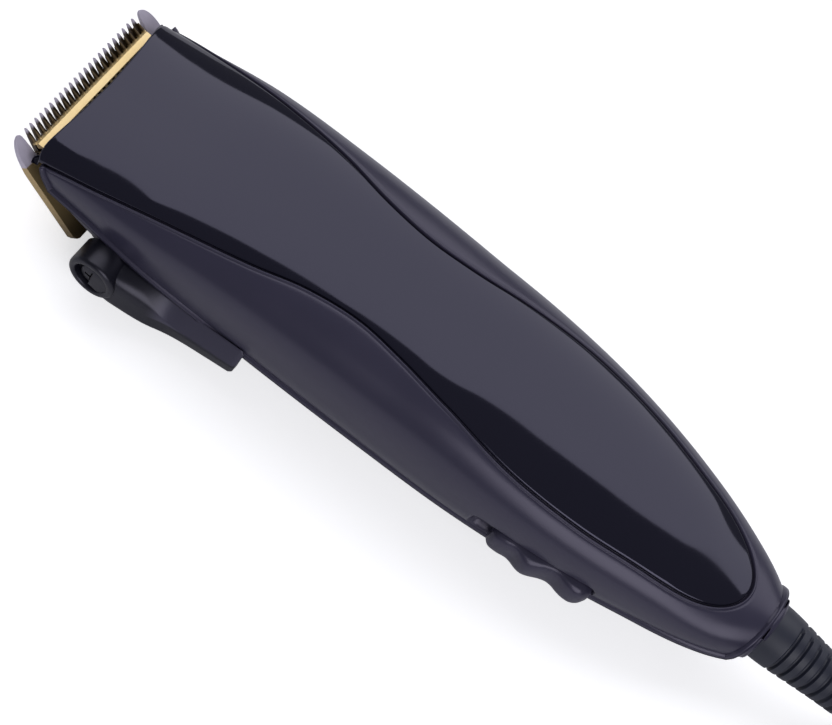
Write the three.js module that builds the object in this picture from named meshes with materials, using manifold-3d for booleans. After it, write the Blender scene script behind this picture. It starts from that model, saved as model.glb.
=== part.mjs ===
// Corded hair clipper, lying on its flat underside. Millimetres, +Z up.
// Body frame: X runs from the blade tips (-) to the cord (+), Y across it (the taper lever and the switch
// are on the -Y side), Z up through the glossy cover. Z = 0 is the axis of the strain relief.
// The body lies nose down by restTilt, so that its flat underside is the part's Z = 0 plane.
import * as THREE from 'three';
import { mergeVertices } from 'three/addons/utils/BufferGeometryUtils.js';
import Module from 'manifold-3d';

const wasm = await Module();
wasm.setup();

// Driving dimensions
const tailX = 97; // rear end of the housing
const noseX = -92; // front of the side walls
const axisHeight = 20.6; // strain relief axis above the underside, at X = 0
const restSlope = 0.0492; // rise of the underside per mm of length
const restTilt = Math.atan(restSlope);
const wall = 2;
const touch = 0.3; // gap between solids that touch
const run = 0.15; // clearance of a sliding or turning fit
const coverGap = 0.22; // half the gap around the cover

const bladeTip = new THREE.Vector3(-98.3, 0, -2.6);
const bladeTilt = THREE.MathUtils.degToRad(37); // blade plane against the body axis
const plateLength = 28.5;
const plateThickness = 2.3;
const plateHalfWidth = 24.6;
const combTeeth = 23;
const combPitch = 1.74;
const toothLength = 6.5;
const cutterTeeth = 24;
const cutterPitch = 1.7;
const cutterHalfWidth = 20.5;
const mouthClearance = 3.9; // from the blade plane to the front edge of the side walls
const chinX = -73; // front face of the lower housing behind the comb blade
const chinDrop = 1.5; // the chin wall's top is this far below the mouth, clear of the carriage

const knob = new THREE.Vector3(-66.9, -33, -12.7); // outer end of the lever's axis
const knobRadius = 6.1;
const camRadius = 1.2; // eccentricity; the comb blade moves by as much over the lever's 60 degrees
const camPhase = THREE.MathUtils.degToRad(30);
const camPinRadius = 1.2;

const pivot = new THREE.Vector2(33, -2.3); // armature pivot
const pegU = 10.5; // drive peg, along the blade from its tips

const switchX = 46.1;
const switchZ = -2.5;
const switchTurn = 0.145; // the side wall closes in by this angle along the switch
const switchSlot = { from: 30.4, to: 61.8, height: 9 };

const bootRadius = 7.25;
const neckRadius = 4.5; // the boot's neck, through the end wall
const cordDiameter = 5.8;
const coilTurnsAcross = 3;
const coilTurnsHigh = 3;
const coilMeanRadius = 31;
const coilCentre = new THREE.Vector2(186, -28.6);
const plugAside = 21.9; // the plug lies on the coil, this far from its centre
const plugLength = 36;
const pinLength = 19;
const pinSpacing = 13.4;
const pinRadius = 2;

// Outline of the housing along X
// A smooth curve through hand-placed stations [x, value].
function smooth(stations) {
  const last = stations.length - 1;
  const slope = (i) => (stations[i + 1][1] - stations[i][1]) / (stations[i + 1][0] - stations[i][0]);
  const tangent = stations.map((_, i) => {
    if (i === 0) return slope(0);
    if (i === last) return slope(last - 1);
    return (slope(i - 1) + slope(i)) / 2;
  });
  return (x) => {
    const clamped = Math.min(Math.max(x, stations[0][0]), stations[last][0]);
    let i = 0;
    while (i < last - 1 && clamped > stations[i + 1][0]) i += 1;
    const step = stations[i + 1][0] - stations[i][0];
    const t = (clamped - stations[i][0]) / step;
    const [a, b] = [stations[i][1], stations[i + 1][1]];
    const bend = (1 - t) * tangent[i] * step * t * (1 - t) - t * tangent[i + 1] * step * t * (1 - t);
    return a + (b - a) * t * t * (3 - 2 * t) + bend;
  };
}

const restAt = (x) => -axisHeight + restSlope * x;
const bellySink = 0.4; // the belly is moulded this much deeper, then cut flat
const halfWidth = smooth([[-92, 23.8], [-80, 24.9], [-64, 26.1], [-40, 25.9], [0, 25.5], [30, 24.7],
  [50, 22.5], [70, 18.5], [84, 14.8], [91, 12.0], [95, 9.6], [97, 7.9]]);
const crown = smooth([[-92, 2.0], [-80, 5.4], [-60, 11.1], [-40, 14.6], [-20, 16.4], [0, 17.1],
  [14, 17.7], [30, 16.8], [50, 14.7], [70, 11.8], [86, 7.9], [92, 7.2], [97, 6.6]]);
const widestAt = smooth([[-92, -6.0], [-80, -4.3], [-60, -1.4], [-45, 0], [20, 0], [45, 1.2],
  [70, 1.4], [86, 0.6], [97, -0.4]]);
const belly = smooth([[-92, restAt(-92) - bellySink], [0, restAt(0) - bellySink],
  [58, restAt(58) - bellySink], [72, -14.8], [84, -12.4], [92, -10.2], [97, -7.6]]);
const upperPower = smooth([[-92, 2.8], [70, 2.7], [97, 2.0]]);
const lowerPower = smooth([[-92, 2.6], [-30, 2.45], [0, 2.2], [30, 1.9], [60, 1.75], [80, 1.85], [97, 2.0]]);

// Plan half-width of the glossy cover; its rear end is round.
const coverPlan = smooth([[-90.7, 23.6], [-75.6, 22.6], [-57.9, 20.7], [-40.6, 17.9], [-27.8, 14.8],
  [-15, 13.35], [-3, 14.2], [10.6, 16.1], [30, 18.05], [49.3, 16.9], [66.7, 13.8], [88.3, 10.2]]);
const coverEnd = 88.3;
function coverHalfWidth(x) {
  const t = Math.min(Math.max((x - 60) / (coverEnd - 60), 0), 1);
  return coverPlan(x) * Math.sqrt(1 - t ** 4);
}
const coverFront = -90.7;

// Posts inside the housing
const postRadius = 3.6;
const threadRadius = 1.6;
const shankHoleRadius = 1.75;
const headHoleRadius = 3.1;
const headDepth = 2.4; // depth of a screw head's seat above the underside
const postSplit = -4; // height where the cover's posts meet the lower housing's

// Height of the outer surface above half-width y.
function surfaceZ(x, y) {
  const n = upperPower(x);
  const reach = Math.min(Math.abs(y) / halfWidth(x), 1);
  return widestAt(x) + (crown(x) - widestAt(x)) * (1 - reach ** n) ** (1 / n);
}

// Parting line of the two housing halves, as [x, z] from front to rear.
const seam = [[-92, -9.2], [-86, -8.4], [-73, -6.6], [-58, -7.6], [-40, -9.5], [0, -9.5], [40, -8.2],
  [66, -5.2], [84, -2.6], [93.4, -1.6], [94.4, 0], [97.4, 10]];

// Making solids
function solid(geometry) {
  const bare = geometry.clone();
  bare.deleteAttribute('normal');
  bare.deleteAttribute('uv');
  const merged = mergeVertices(bare, 1e-4);
  return new wasm.Manifold(new wasm.Mesh({
    numProp: 3,
    vertProperties: new Float32Array(merged.attributes.position.array),
    triVerts: new Uint32Array(merged.index.array),
  }));
}

function geometryOf(manifold) {
  const mesh = manifold.getMesh();
  const geometry = new THREE.BufferGeometry();
  geometry.setAttribute('position', new THREE.BufferAttribute(mesh.vertProperties, 3));
  geometry.setIndex(new THREE.BufferAttribute(mesh.triVerts, 1));
  geometry.computeVertexNormals();
  return geometry;
}

const union = (...solids) => solids.reduce((a, b) => a.add(b));
const cut = (body, ...tools) => tools.reduce((a, b) => a.subtract(b), body);

// Closed skin through rings of points; each ring turns anticlockwise about the direction of travel.
function loft(rings) {
  const count = rings[0].length;
  const position = rings.flat().flatMap((p) => [p.x, p.y, p.z]);
  const index = [];
  for (let i = 0; i < rings.length - 1; i += 1) {
    for (let j = 0; j < count; j += 1) {
      const [a, b] = [i * count + j, i * count + ((j + 1) % count)];
      index.push(a, b, b + count, a, b + count, a + count);
    }
  }
  const end = (rings.length - 1) * count;
  for (let j = 1; j < count - 1; j += 1) {
    index.push(0, j + 1, j, end, end + j, end + j + 1);
  }
  const geometry = new THREE.BufferGeometry();
  geometry.setAttribute('position', new THREE.Float32BufferAttribute(position, 3));
  geometry.setIndex(index);
  geometry.computeVertexNormals();
  return geometry;
}

function shapeOf(points) {
  return new THREE.Shape(points.map(([x, y]) => new THREE.Vector2(x, y)));
}

// Outline in X and Z, carried along Y from one side to the other.
function slabAcross(points, fromY, toY) {
  const geometry = new THREE.ExtrudeGeometry(shapeOf(points), { depth: toY - fromY, bevelEnabled: false });
  return geometry.rotateX(Math.PI / 2).translate(0, toY, 0);
}

// Outline in X and Y, carried up from one height to the other.
function slabUp(points, fromZ, toZ) {
  const geometry = new THREE.ExtrudeGeometry(shapeOf(points), { depth: toZ - fromZ, bevelEnabled: false });
  return geometry.translate(0, 0, fromZ);
}

function block([x0, x1], [y0, y1], [z0, z1]) {
  return new THREE.BoxGeometry(x1 - x0, y1 - y0, z1 - z0)
    .translate((x0 + x1) / 2, (y0 + y1) / 2, (z0 + z1) / 2);
}

// Round bar along an axis ('x', 'y' or 'z') between two places on it; centre gives the other two.
function bar(axis, radius, from, to, centre, sides = 20) {
  const geometry = new THREE.CylinderGeometry(radius, radius, to - from, sides);
  const middle = (from + to) / 2;
  if (axis === 'x') return geometry.rotateZ(-Math.PI / 2).translate(middle, centre[0], centre[1]);
  if (axis === 'y') return geometry.translate(centre[0], middle, centre[1]);
  return geometry.rotateX(Math.PI / 2).translate(centre[0], centre[1], middle);
}

// Solid of revolution about Z from a closed [radius, z] profile.
function turned(profile, segments = 36) {
  const loop = [...profile, profile[0]].map(([r, z]) => new THREE.Vector2(r, z));
  return new THREE.LatheGeometry(loop, segments).rotateX(Math.PI / 2);
}

// Round tube along a path.
function tube(points, radius, sides, steps) {
  const circle = new THREE.Shape().absarc(0, 0, radius, 0, Math.PI * 2, false);
  const path = new THREE.CatmullRomCurve3(points.map(([x, y, z]) => new THREE.Vector3(x, y, z)));
  return new THREE.ExtrudeGeometry(circle, { steps, curveSegments: sides, extrudePath: path });
}

// The scene graph
const group = new THREE.Group();
const body = new THREE.Group(); // body frame
body.rotation.y = restTilt;
body.position.z = axisHeight;
group.add(body);
const blades = new THREE.Group(); // X down the blade plane from its tips, Z away from it
blades.rotation.y = bladeTilt;
blades.position.copy(bladeTip);
body.add(blades);
const switchFrame = new THREE.Group(); // X along the side wall, -Y out of it
switchFrame.rotation.z = switchTurn;
switchFrame.position.set(switchX, -halfWidth(switchX), switchZ);
body.add(switchFrame);

const finishes = {
  gloss: { color: 0x16161f, roughness: 0.12, metalness: 0 },
  satin: { color: 0x2e2b38, roughness: 0.45, metalness: 0 },
  dark: { color: 0x17161c, roughness: 0.5, metalness: 0 },
  steel: { color: 0x8b8792, roughness: 0.3, metalness: 1 },
  brass: { color: 0xcaa766, roughness: 0.3, metalness: 1 },
  rubber: { color: 0x22242e, roughness: 0.6, metalness: 0 },
  copper: { color: 0xa8552c, roughness: 0.4, metalness: 1 },
  nylon: { color: 0xd8d4c8, roughness: 0.5, metalness: 0 },
};

function add(parent, name, shape, finish) {
  const geometry = shape instanceof THREE.BufferGeometry ? shape : geometryOf(shape);
  const mesh = new THREE.Mesh(geometry, new THREE.MeshStandardMaterial(finishes[finish]));
  mesh.name = name;
  parent.add(mesh);
}

// A point given in the blade frame, in the body frame.
function fromBlade(u, n) {
  const [c, s] = [Math.cos(bladeTilt), Math.sin(bladeTilt)];
  return [bladeTip.x + u * c + n * s, bladeTip.z - u * s + n * c];
}

// Housing
const aroundBody = 32;

function sectionRing(x, inset) {
  const ring = [];
  const [a, zMid] = [halfWidth(x) - inset, widestAt(x)];
  for (let i = 0; i < aroundBody; i += 1) {
    const angle = (i / aroundBody) * Math.PI * 2;
    const [c, s] = [Math.cos(angle), Math.sin(angle)];
    const n = s >= 0 ? upperPower(x) : lowerPower(x);
    const reach = s >= 0 ? crown(x) - zMid - inset : zMid - belly(x) - inset;
    ring.push(new THREE.Vector3(x, Math.sign(c) * a * Math.abs(c) ** (2 / n),
      zMid + Math.sign(s) * reach * Math.abs(s) ** (2 / n)));
  }
  return ring;
}

function bodyLoft(fromX, toX, inset, stations) {
  const rings = [];
  for (let i = 0; i <= stations; i += 1) {
    const t = i / stations;
    rings.push(sectionRing(fromX + (toX - fromX) * (1 - (1 - t) ** 1.25), inset));
  }
  return solid(loft(rings));
}

// Wedge that carries the cover out of the shell: its flanks pass through the cover's edge, square to it.
function coverWedge(margin, fromX) {
  const rings = [];
  const steps = 32;
  const toX = coverEnd + margin;
  for (let i = 0; i <= steps; i += 1) {
    const x = fromX + (toX - fromX) * Math.sin((i / steps) * (Math.PI / 2));
    const edgeY = Math.max(coverHalfWidth(x - 1.5 * margin) + margin, 0.3);
    const edgeZ = surfaceZ(x, edgeY);
    const rootZ = widestAt(x) - 3;
    const far = new THREE.Vector2(edgeY * 1.35, rootZ + (edgeZ - rootZ) * 1.35);
    rings.push([[0, rootZ], [far.x, far.y], [far.x * 1.6, 45], [-far.x * 1.6, 45], [-far.x, far.y]]
      .map(([y, z]) => new THREE.Vector3(x, y, z)));
  }
  return solid(loft(rings));
}

function housingParts() {
  const outer = bodyLoft(noseX - 1, tailX, 0, 26);
  const inner = bodyLoft(noseX - 3, tailX - wall, wall, 22);
  const [mouthTopX, mouthTopZ] = fromBlade(-4, mouthClearance);
  const chinTopZ = fromBlade(0, mouthClearance)[1] - (chinX - fromBlade(0, mouthClearance)[0])
    * Math.tan(bladeTilt);
  const mouth = solid(slabAcross([[mouthTopX, mouthTopZ], [-110, mouthTopZ], [-110, -50], [chinX, -50],
    [chinX, chinTopZ]], -40, 40));
  const underCut = solid(slabAcross([[-120, restAt(-120)], [-120, -60], [120, -60], [120, restAt(120)]],
    -40, 40));
  const cordHole = solid(bar('x', neckRadius + touch, tailX - 6, tailX + 4, [0, 0]));
  const chinWall = outer.intersect(solid(block([chinX, chinX + wall], [-30, 30],
    [-40, chinTopZ - chinDrop])));
  const shell = union(outer.subtract(inner), chinWall).subtract(mouth).subtract(underCut)
    .subtract(cordHole);

  const half = touch / 2;
  const above = (offset) => solid(slabAcross([...seam.map(([x, z]) => [x, z + offset]),
    [97.4 - offset, 60], [-120, 60], [-120, seam[0][1] + offset]], -40, 40));
  const upperShell = shell.intersect(above(half));
  const lowerShell = shell.subtract(above(-half));

  // bosses: screws from the underside draw the cover down
  const bosses = [[-48, 12], [-48, -12], [70, 0]];
  const coreFeet = [[-10.5, 16], [18.5, 16]];
  const post = (x, y, radius, fromZ, toZ) => outer.intersect(solid(bar('z', radius, fromZ, toZ, [x, y])));
  const bore = (x, y, radius, fromZ, toZ) => solid(bar('z', radius, fromZ, toZ, [x, y], 12));

  let cover = upperShell.intersect(coverWedge(-coverGap, noseX - 4))
    .subtract(solid(block([-120, coverFront], [-40, 40], [-40, 40])));
  for (const [x, y] of bosses) {
    cover = union(cover, post(x, y, postRadius, postSplit, 40).subtract(underCut));
    cover = cut(cover, bore(x, y, threadRadius, -6, 6));
  }

  const upper = cut(upperShell, coverWedge(coverGap, noseX - 4), switchOpening());

  let lower = lowerShell;
  for (const [x, y] of bosses) {
    lower = union(lower, post(x, y, postRadius, -40, postSplit - touch).subtract(underCut));
    lower = cut(lower, bore(x, y, shankHoleRadius, -40, 0),
      bore(x, y, headHoleRadius, -40, restAt(x) + headDepth));
  }
  for (const [x, y] of coreFeet) {
    lower = union(lower, post(x, y, 3.4, -40, -8 - touch).subtract(underCut));
    lower = cut(lower, bore(x, y, threadRadius, -15, 0));
  }
  lower = union(lower, post(pivot.x, pivot.y, 4.5, -40, -7 - touch).subtract(underCut));
  lower = cut(lower, bore(pivot.x, pivot.y, 2 + touch, -14, 0));
  for (const side of [-1, 1]) {
    const seat = outer.intersect(solid(block([-34, -26], side > 0 ? [8.5, 11] : [-11, -8.5], [-40, 4])));
    lower = union(lower, seat.subtract(underCut));
  }
  lower = cut(lower, solid(bar('y', 2.5 + run, -40, -15, [knob.x, knob.z])));
  return { cover, upper, lower, bosses, coreFeet };
}

function switchOpening() {
  const { from, to, height } = switchSlot;
  const middle = (from + to) / 2 - switchX;
  const reach = (to - from) / 2;
  const geometry = block([middle - reach, middle + reach], [-8, 8], [-height / 2, height / 2]);
  return solid(geometry.rotateZ(switchTurn).translate(switchX, -halfWidth(switchX), switchZ));
}

const { cover, upper, lower, bosses, coreFeet } = housingParts();
add(body, 'top_cover', cover, 'gloss');
add(body, 'upper_housing', upper, 'satin');
add(body, 'lower_housing', lower, 'satin');

bosses.forEach(([x, y], i) => {
  const seatZ = restAt(x) + headDepth - run;
  const screw = union(solid(bar('z', 2.8, seatZ - 1.6, seatZ, [x, y], 16)),
    solid(bar('z', 1.4, seatZ - 0.5, 4, [x, y], 10)));
  add(body, `housing_screw_${i + 1}`, screw, 'steel');
});

// Blades
function combBlade() {
  const guard = [[plateLength, 22.9], [plateLength - 1.5, 24.4], [7.5, plateHalfWidth], [3.8, 24.4],
    [1.6, 23.7], [0.4, 22.8], [-0.1, 22.0], [0.3, 21.3], [3, 20.9], [toothLength, 20.6]];
  const outline = guard.map(([u, v]) => [u, -v]);
  const first = -((combTeeth - 1) / 2) * combPitch;
  for (let i = 0; i < combTeeth; i += 1) {
    const v = first + i * combPitch;
    outline.push([toothLength, v - 0.5], [0.4, v - 0.3], [0, v], [0.4, v + 0.3], [toothLength, v + 0.5]);
  }
  outline.push(...guard.reverse());
  const plate = solid(slabUp(outline, -plateThickness, 0));
  const bevel = solid(slabAcross([[-2, -0.3], [9, -plateThickness], [9, -6], [-2, -6]], -40, 40));
  const holes = [-12, 12].map((v) => solid(bar('z', 1.65, -6, 6, [21, v], 12)));
  return cut(plate, bevel, ...holes);
}

function cutterBlade() {
  const profile = [[1.6, run], [12.6, run], [12.6, 2.3], [6.5, 2.3], [5.97, 2.87], [4.1, 1.46],
    [3.9, 1.1], [1.6, 0.6]];
  let blade = solid(slabAcross(profile, -cutterHalfWidth, cutterHalfWidth));
  const gap = 0.8;
  for (let i = 1; i < cutterTeeth; i += 1) {
    const v = (i - cutterTeeth / 2) * cutterPitch;
    const notch = [[0, v - gap], [3.9, v - gap / 2], [3.9, v + gap / 2], [0, v + gap]];
    blade = blade.subtract(solid(slabUp(notch, -1, 4)));
  }
  return blade;
}

add(blades, 'fixed_blade', combBlade(), 'brass');
add(blades, 'moving_blade', cutterBlade(), 'brass');

// guide that sits on the cutter and takes the drive peg in its slot
const guideSpan = [8, 13];
const guide = cut(solid(block(guideSpan, [-14, 14], [2.3 + run, 6])),
  solid(block([guideSpan[0] - 1, guideSpan[1] + 1], [-1.8 - run, 1.8 + run], [3.4, 8])));
add(blades, 'blade_guide', guide, 'nylon');

// carriage: the comb blade is screwed to it, and the lever's cam pin slides it down the blade plane
function carriage() {
  const plate = solid(block([14.6, 27], [-21, 21], [touch, 3.2]));
  const away = knob.clone().sub(bladeTip);
  const [c, s] = [Math.cos(bladeTilt), Math.sin(bladeTilt)];
  const [camU, camN] = [away.x * c - away.z * s, away.x * s + away.z * c];
  const tabOutline = [[19, 2.5], [27, 2.5], [29.5, 7], [33.4, 10.8], [33.4, 15.5], [27, 15.5], [19, 6]];
  const tab = solid(slabAcross(tabOutline, -18.7, -15.7));
  const pinU = camU - camRadius * Math.sin(camPhase);
  const lowN = camN + camRadius * Math.cos(camPhase);
  const slotN = [lowN - camPinRadius - 0.4, camN + camRadius + camPinRadius + 0.4];
  const slot = solid(block([pinU - camPinRadius - run, pinU + camPinRadius + run], [-25, -10], slotN));
  const holes = [-12, 12].map((v) => solid(bar('z', 1.65, -6, 6, [21, v], 12)));
  return cut(union(plate, tab), slot, ...holes);
}
add(blades, 'adjusting_plate', carriage(), 'dark');

[-12, 12].forEach((v, i) => {
  const under = -plateThickness - run;
  const screw = union(solid(bar('z', 3, under - 1.2, under, [21, v], 18)),
    solid(bar('z', 1.5, under - 0.6, 3, [21, v], 12)));
  const slot = solid(block([17, 25], [v - 0.4, v + 0.4], [under - 2, under - 0.7]));
  add(blades, `blade_screw_${i + 1}`, cut(screw, slot), 'steel');
});

// leaf spring that holds the cutter down on the comb blade
const leaf = [[8.6, -11], [24, -11], [24, 11], [8.6, 11], [8.6, 7], [20, 7], [20, -7], [8.6, -7]];
add(blades, 'tension_spring', slabUp(leaf, 6 + touch, 7), 'steel');

// Taper lever
// Cross-sections of the arm from the knob to its square end: x, then [y, z] of its four edges.
const armSections = [
  [-66.5, [-26, -8.2], [-32.6, -8.6], [-32.6, -17.2], [-26, -17.4]],
  [-60.5, [-25.9, -8.0], [-31.8, -9.4], [-32.6, -18.2], [-26, -18.4]],
  [-53, [-25.8, -9.2], [-29.6, -12.6], [-31.0, -18.2], [-26, -18.3]],
  [-44, [-25.5, -8.6], [-28.8, -13.2], [-28.6, -17.2], [-25.8, -17.3]],
  [-30.3, [-25.4, -7.0], [-28.3, -11.4], [-27.9, -14.8], [-25.4, -14.9]],
];

function taperLever() {
  const rings = armSections.map(([x, ...edges]) => edges.map(([y, z]) => new THREE.Vector3(x, y, z)));
  const arm = solid(loft(rings));
  const [x, z] = [knob.x, knob.z];
  const head = solid(bar('y', knobRadius, knob.y, -26, [x, z], 32));
  const recess = solid(bar('y', 4.2, knob.y - 1, knob.y + 2.2, [x, z], 24));
  const shaftHole = solid(bar('y', 1.5 + run, knob.y - 1, -24, [x, z], 12));
  return cut(union(arm, head), recess, shaftHole);
}
add(body, 'taper_lever', taperLever(), 'dark');

function leverScrew() {
  const [x, z] = [knob.x, knob.z];
  const top = knob.y + 0.9;
  const head = solid(bar('y', 3.3, top, knob.y + 2.2 - run, [x, z], 20));
  const shank = solid(bar('y', 1.5, knob.y + 2, -25.2, [x, z], 12));
  const crossA = solid(block([x - 2.2, x + 2.2], [top - 1, top + 0.7], [z - 0.45, z + 0.45]));
  const crossB = solid(block([x - 0.45, x + 0.45], [top - 1, top + 0.7], [z - 2.2, z + 2.2]));
  return cut(union(head, shank), crossA, crossB);
}
add(body, 'lever_screw', leverScrew(), 'steel');

function leverCam() {
  const [x, z] = [knob.x, knob.z];
  const turn = bladeTilt - camPhase; // the pin starts this far from +Z, towards +X
  const [pinX, pinZ] = [x + camRadius * Math.sin(turn), z + camRadius * Math.cos(turn)];
  return union(solid(bar('y', 2.5, -24.9, -19.1, [x, z], 20)),
    solid(bar('y', camPinRadius, -19.4, -15.2, [pinX, pinZ], 14)));
}
add(body, 'lever_cam', leverCam(), 'steel');

// Vibrator motor
const coreOutline = [[-14, 3], [-7, 3], [-7, 13], [0, 13], [0, 3], [8, 3], [8, 13], [15, 13], [15, 3],
  [22, 3], [22, 19], [-14, 19]];
const coreHoles = coreFeet.map(([x, y]) => solid(bar('z', 1.75, -12, 12, [x, y], 12)));
add(body, 'laminated_core', cut(solid(slabUp(coreOutline, -8, 8)), ...coreHoles), 'steel');
coreFeet.forEach(([x, y], i) => {
  const screw = union(solid(bar('z', 3, 8 + run, 10.2, [x, y], 16)),
    solid(bar('z', 1.4, -14, 9, [x, y], 10)));
  add(body, `core_screw_${i + 1}`, screw, 'steel');
});

function bobbin() {
  const sleeve = solid(block([-1.1, 9.1], [3.6, 12.6], [-9.1, 9.1]));
  const flanges = [[3.6, 4.4], [11.8, 12.6]].map((span) => solid(block([-6.7, 14.7], span, [-13.5, 13.5])));
  const window = solid(block([-run, 8 + run], [0, 20], [-8 - run, 8 + run]));
  return cut(union(sleeve, ...flanges), window);
}
add(body, 'coil_bobbin', bobbin(), 'nylon');
const windingHole = solid(block([-1.4, 9.4], [0, 20], [-9.4, 9.4]));
add(body, 'coil_winding', cut(solid(block([-6.3, 14.3], [4.7, 11.5], [-13, 13])), windingHole), 'copper');

function armature() {
  const iron = solid(block([-15, 23], [-6, 1.4], [-7, 7]));
  const neck = solid(block([22, 31], [pivot.y - 2, pivot.y + 2], [-7, 7]));
  const eye = solid(bar('z', 5, -7, 7, [pivot.x, pivot.y], 24));
  const hole = solid(bar('z', 2 + run, -9, 9, [pivot.x, pivot.y], 20));
  return cut(union(iron, neck, eye), hole);
}
add(body, 'armature', armature(), 'steel');
add(body, 'pivot_pin', bar('z', 2, -13.5, 8.5, [pivot.x, pivot.y]), 'steel');

// arm from the armature to the cutter; its peg stands in the guide's slot
function driveArm() {
  const strap = solid(block([-16.3, 2], [-2, 2], [7 + touch, 9.3]));
  const drop = solid(block([-17.3, -15.3], [-2, 2], [-4, 9.3]));
  const [pegX, pegZ] = fromBlade(pegU, 7.2);
  const long = solid(slabAcross([[-16, 2], [-70, 2.6], [pegX + 1, pegZ + 3.2], [pegX - 1.2, pegZ + 1.6],
    [pegX - 1.2, pegZ - 0.6], [pegX + 2, pegZ - 0.6], [-66, -4], [-16, -4]], -2, 2));
  const peg = solid(bar('z', 1.7, 3.6, 7.8, [pegU, 0], 16).rotateY(bladeTilt)
    .translate(bladeTip.x, 0, bladeTip.z));
  return union(strap, drop, long, peg);
}
add(body, 'drive_arm', driveArm(), 'nylon');

[-1, 1].forEach((side, i) => {
  const [near, far] = [3, 8.2];
  const sleeve = cut(solid(bar('y', 3, near, far, [-30, -1], 18)),
    solid(bar('y', 2.1, near - 1, far + 1, [-30, -1], 18)));
  const geometry = geometryOf(sleeve);
  if (side < 0) geometry.translate(0, -near - far, 0);
  add(body, `return_spring_${i + 1}`, geometry, 'steel');
});

// Switch
// Slider in the wall's slot: dished front, thumb ridge, rear pad; the stem works the contacts.
function switchSlider() {
  const front = 36 - switchX;
  const rear = 61.4 - switchX;
  const height = switchSlot.height - 0.8;
  const back = 1.9;
  const profile = [[front, back], [front, 0.2], [front + 1.2, -1.2], [front + 4, -1.3], [-1.6, -2.3],
    [0.4, -2.5], [4.2, -1.5], [6.6, -1.1], [8.6, -1.9], [12.6, -2.5], [14.6, -1.5], [rear, 0.4],
    [rear, back]];
  const slab = new THREE.ExtrudeGeometry(shapeOf(profile), { depth: height, bevelEnabled: false })
    .translate(0, 0, -height / 2);
  const stem = solid(block([-3, 3], [1.5, 7], [-1.5, 1.5]));
  return union(solid(slab), stem);
}
add(switchFrame, 'switch_slider', switchSlider(), 'dark');

function switchBody() {
  const box = solid(block([-11, 6], [4.6, 11], [-4.4, 4.4]));
  const channel = solid(block([-9.2, 3.8], [0, 8], [-1.9, 1.9]));
  return cut(box, channel);
}
add(switchFrame, 'switch_body', switchBody(), 'nylon');

// Cord entry
function cordClamp() {
  const bridge = solid(block([76, 82], [-8, 8], [-3.2, 0.2]));
  const groove = solid(bar('x', 2.6, 70, 90, [0, -4], 16));
  const holes = [-6, 6].map((y) => solid(bar('z', 1.3, -8, 8, [79, y], 12)));
  return cut(bridge, groove, ...holes);
}
add(body, 'cord_clamp', cordClamp(), 'nylon');
[-6, 6].forEach((y, i) => {
  const screw = union(solid(bar('z', 2, 0.2 + run, 1.8, [79, y], 14)),
    solid(bar('z', 1.1, -6, 1, [79, y], 10)));
  add(body, `clamp_screw_${i + 1}`, screw, 'steel');
});

const wireRadius = 0.9;
const wirePaths = [
  [[86, -1.4, -6.2], [70, -7, -7], [60, -12, -6.5], [54, -9.6, -7]],
  [[86, 1.4, -6.2], [66, 8, -7], [46, 12, -11], [27, 9, -11.6], [13.5, 8, -14.4]],
];
wirePaths.forEach((path, i) => add(body, `lead_wire_${i + 1}`, tube(path, wireRadius, 8, 14), 'copper'));

// Strain relief: a neck through the housing's end wall, then a tapering boot that droops.
const bootPath = new THREE.CatmullRomCurve3([[91.4, 0, 0], [97, 0, 0], [103, 0, -0.15], [112, 0.5, -1.3],
  [121, 1.7, -3.6], [131, 3.8, -6.4], [142, 6.8, -8.7]].map(([x, y, z]) => new THREE.Vector3(x, y, z)));
const bootStations = [[0, neckRadius], [0.113, neckRadius], [0.114, bootRadius], [0.22, 6.9],
  [0.4, 5.6], [0.6, 4.9], [0.85, 4.4], [1, 3.7]];

function boot() {
  const sides = 18;
  const rings = bootStations.map(([t, radius]) => {
    const centre = bootPath.getPointAt(t);
    const along = bootPath.getTangentAt(t);
    const across = new THREE.Vector3(0, 1, 0).addScaledVector(along, -along.y).normalize();
    const up = new THREE.Vector3().crossVectors(along, across);
    return Array.from({ length: sides }, (_, i) => {
      const angle = (i / sides) * Math.PI * 2;
      return centre.clone().addScaledVector(across, radius * Math.cos(angle))
        .addScaledVector(up, radius * Math.sin(angle));
    });
  });
  return loft(rings);
}
add(body, 'strain_relief', boot(), 'rubber');

// Mains cord
body.updateMatrixWorld(true);
const bootEnd = body.localToWorld(bootPath.getPointAt(1));
const bootAim = bootPath.getTangentAt(1).transformDirection(body.matrixWorld);
const cordRadius = cordDiameter / 2;
const cordStart = bootEnd.clone().addScaledVector(bootAim, touch);
const outerTurn = coilMeanRadius + ((coilTurnsAcross - 1) / 2) * cordDiameter;
const cordRest = cordRadius + 0.1;

// free stretch from the strain relief down to the table and up to the coil's outer turn
const cordNext = bootEnd.clone().addScaledVector(bootAim, 4);
const cordY = coilCentre.y + outerTurn;
const cordPoints = [cordStart.toArray(), cordNext.toArray(), [152, cordY + 0.5, cordRest + 0.6],
  [158, cordY + 0.3, cordRest], [164.9, cordY, cordRest]];
add(group, 'power_cord', tube(cordPoints, cordRadius, 10, 8), 'rubber');

const ringHalf = (coilTurnsAcross * cordDiameter) / 2;
const ringHigh = coilTurnsHigh * cordDiameter;
const ringProfile = [[coilMeanRadius - ringHalf, 0.1], [coilMeanRadius + ringHalf, 0.1],
  [coilMeanRadius + ringHalf, ringHigh], [coilMeanRadius - ringHalf, ringHigh]];
const coil = turned(ringProfile).translate(coilCentre.x, coilCentre.y, 0);
add(group, 'cord_coil', coil, 'rubber');

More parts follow.
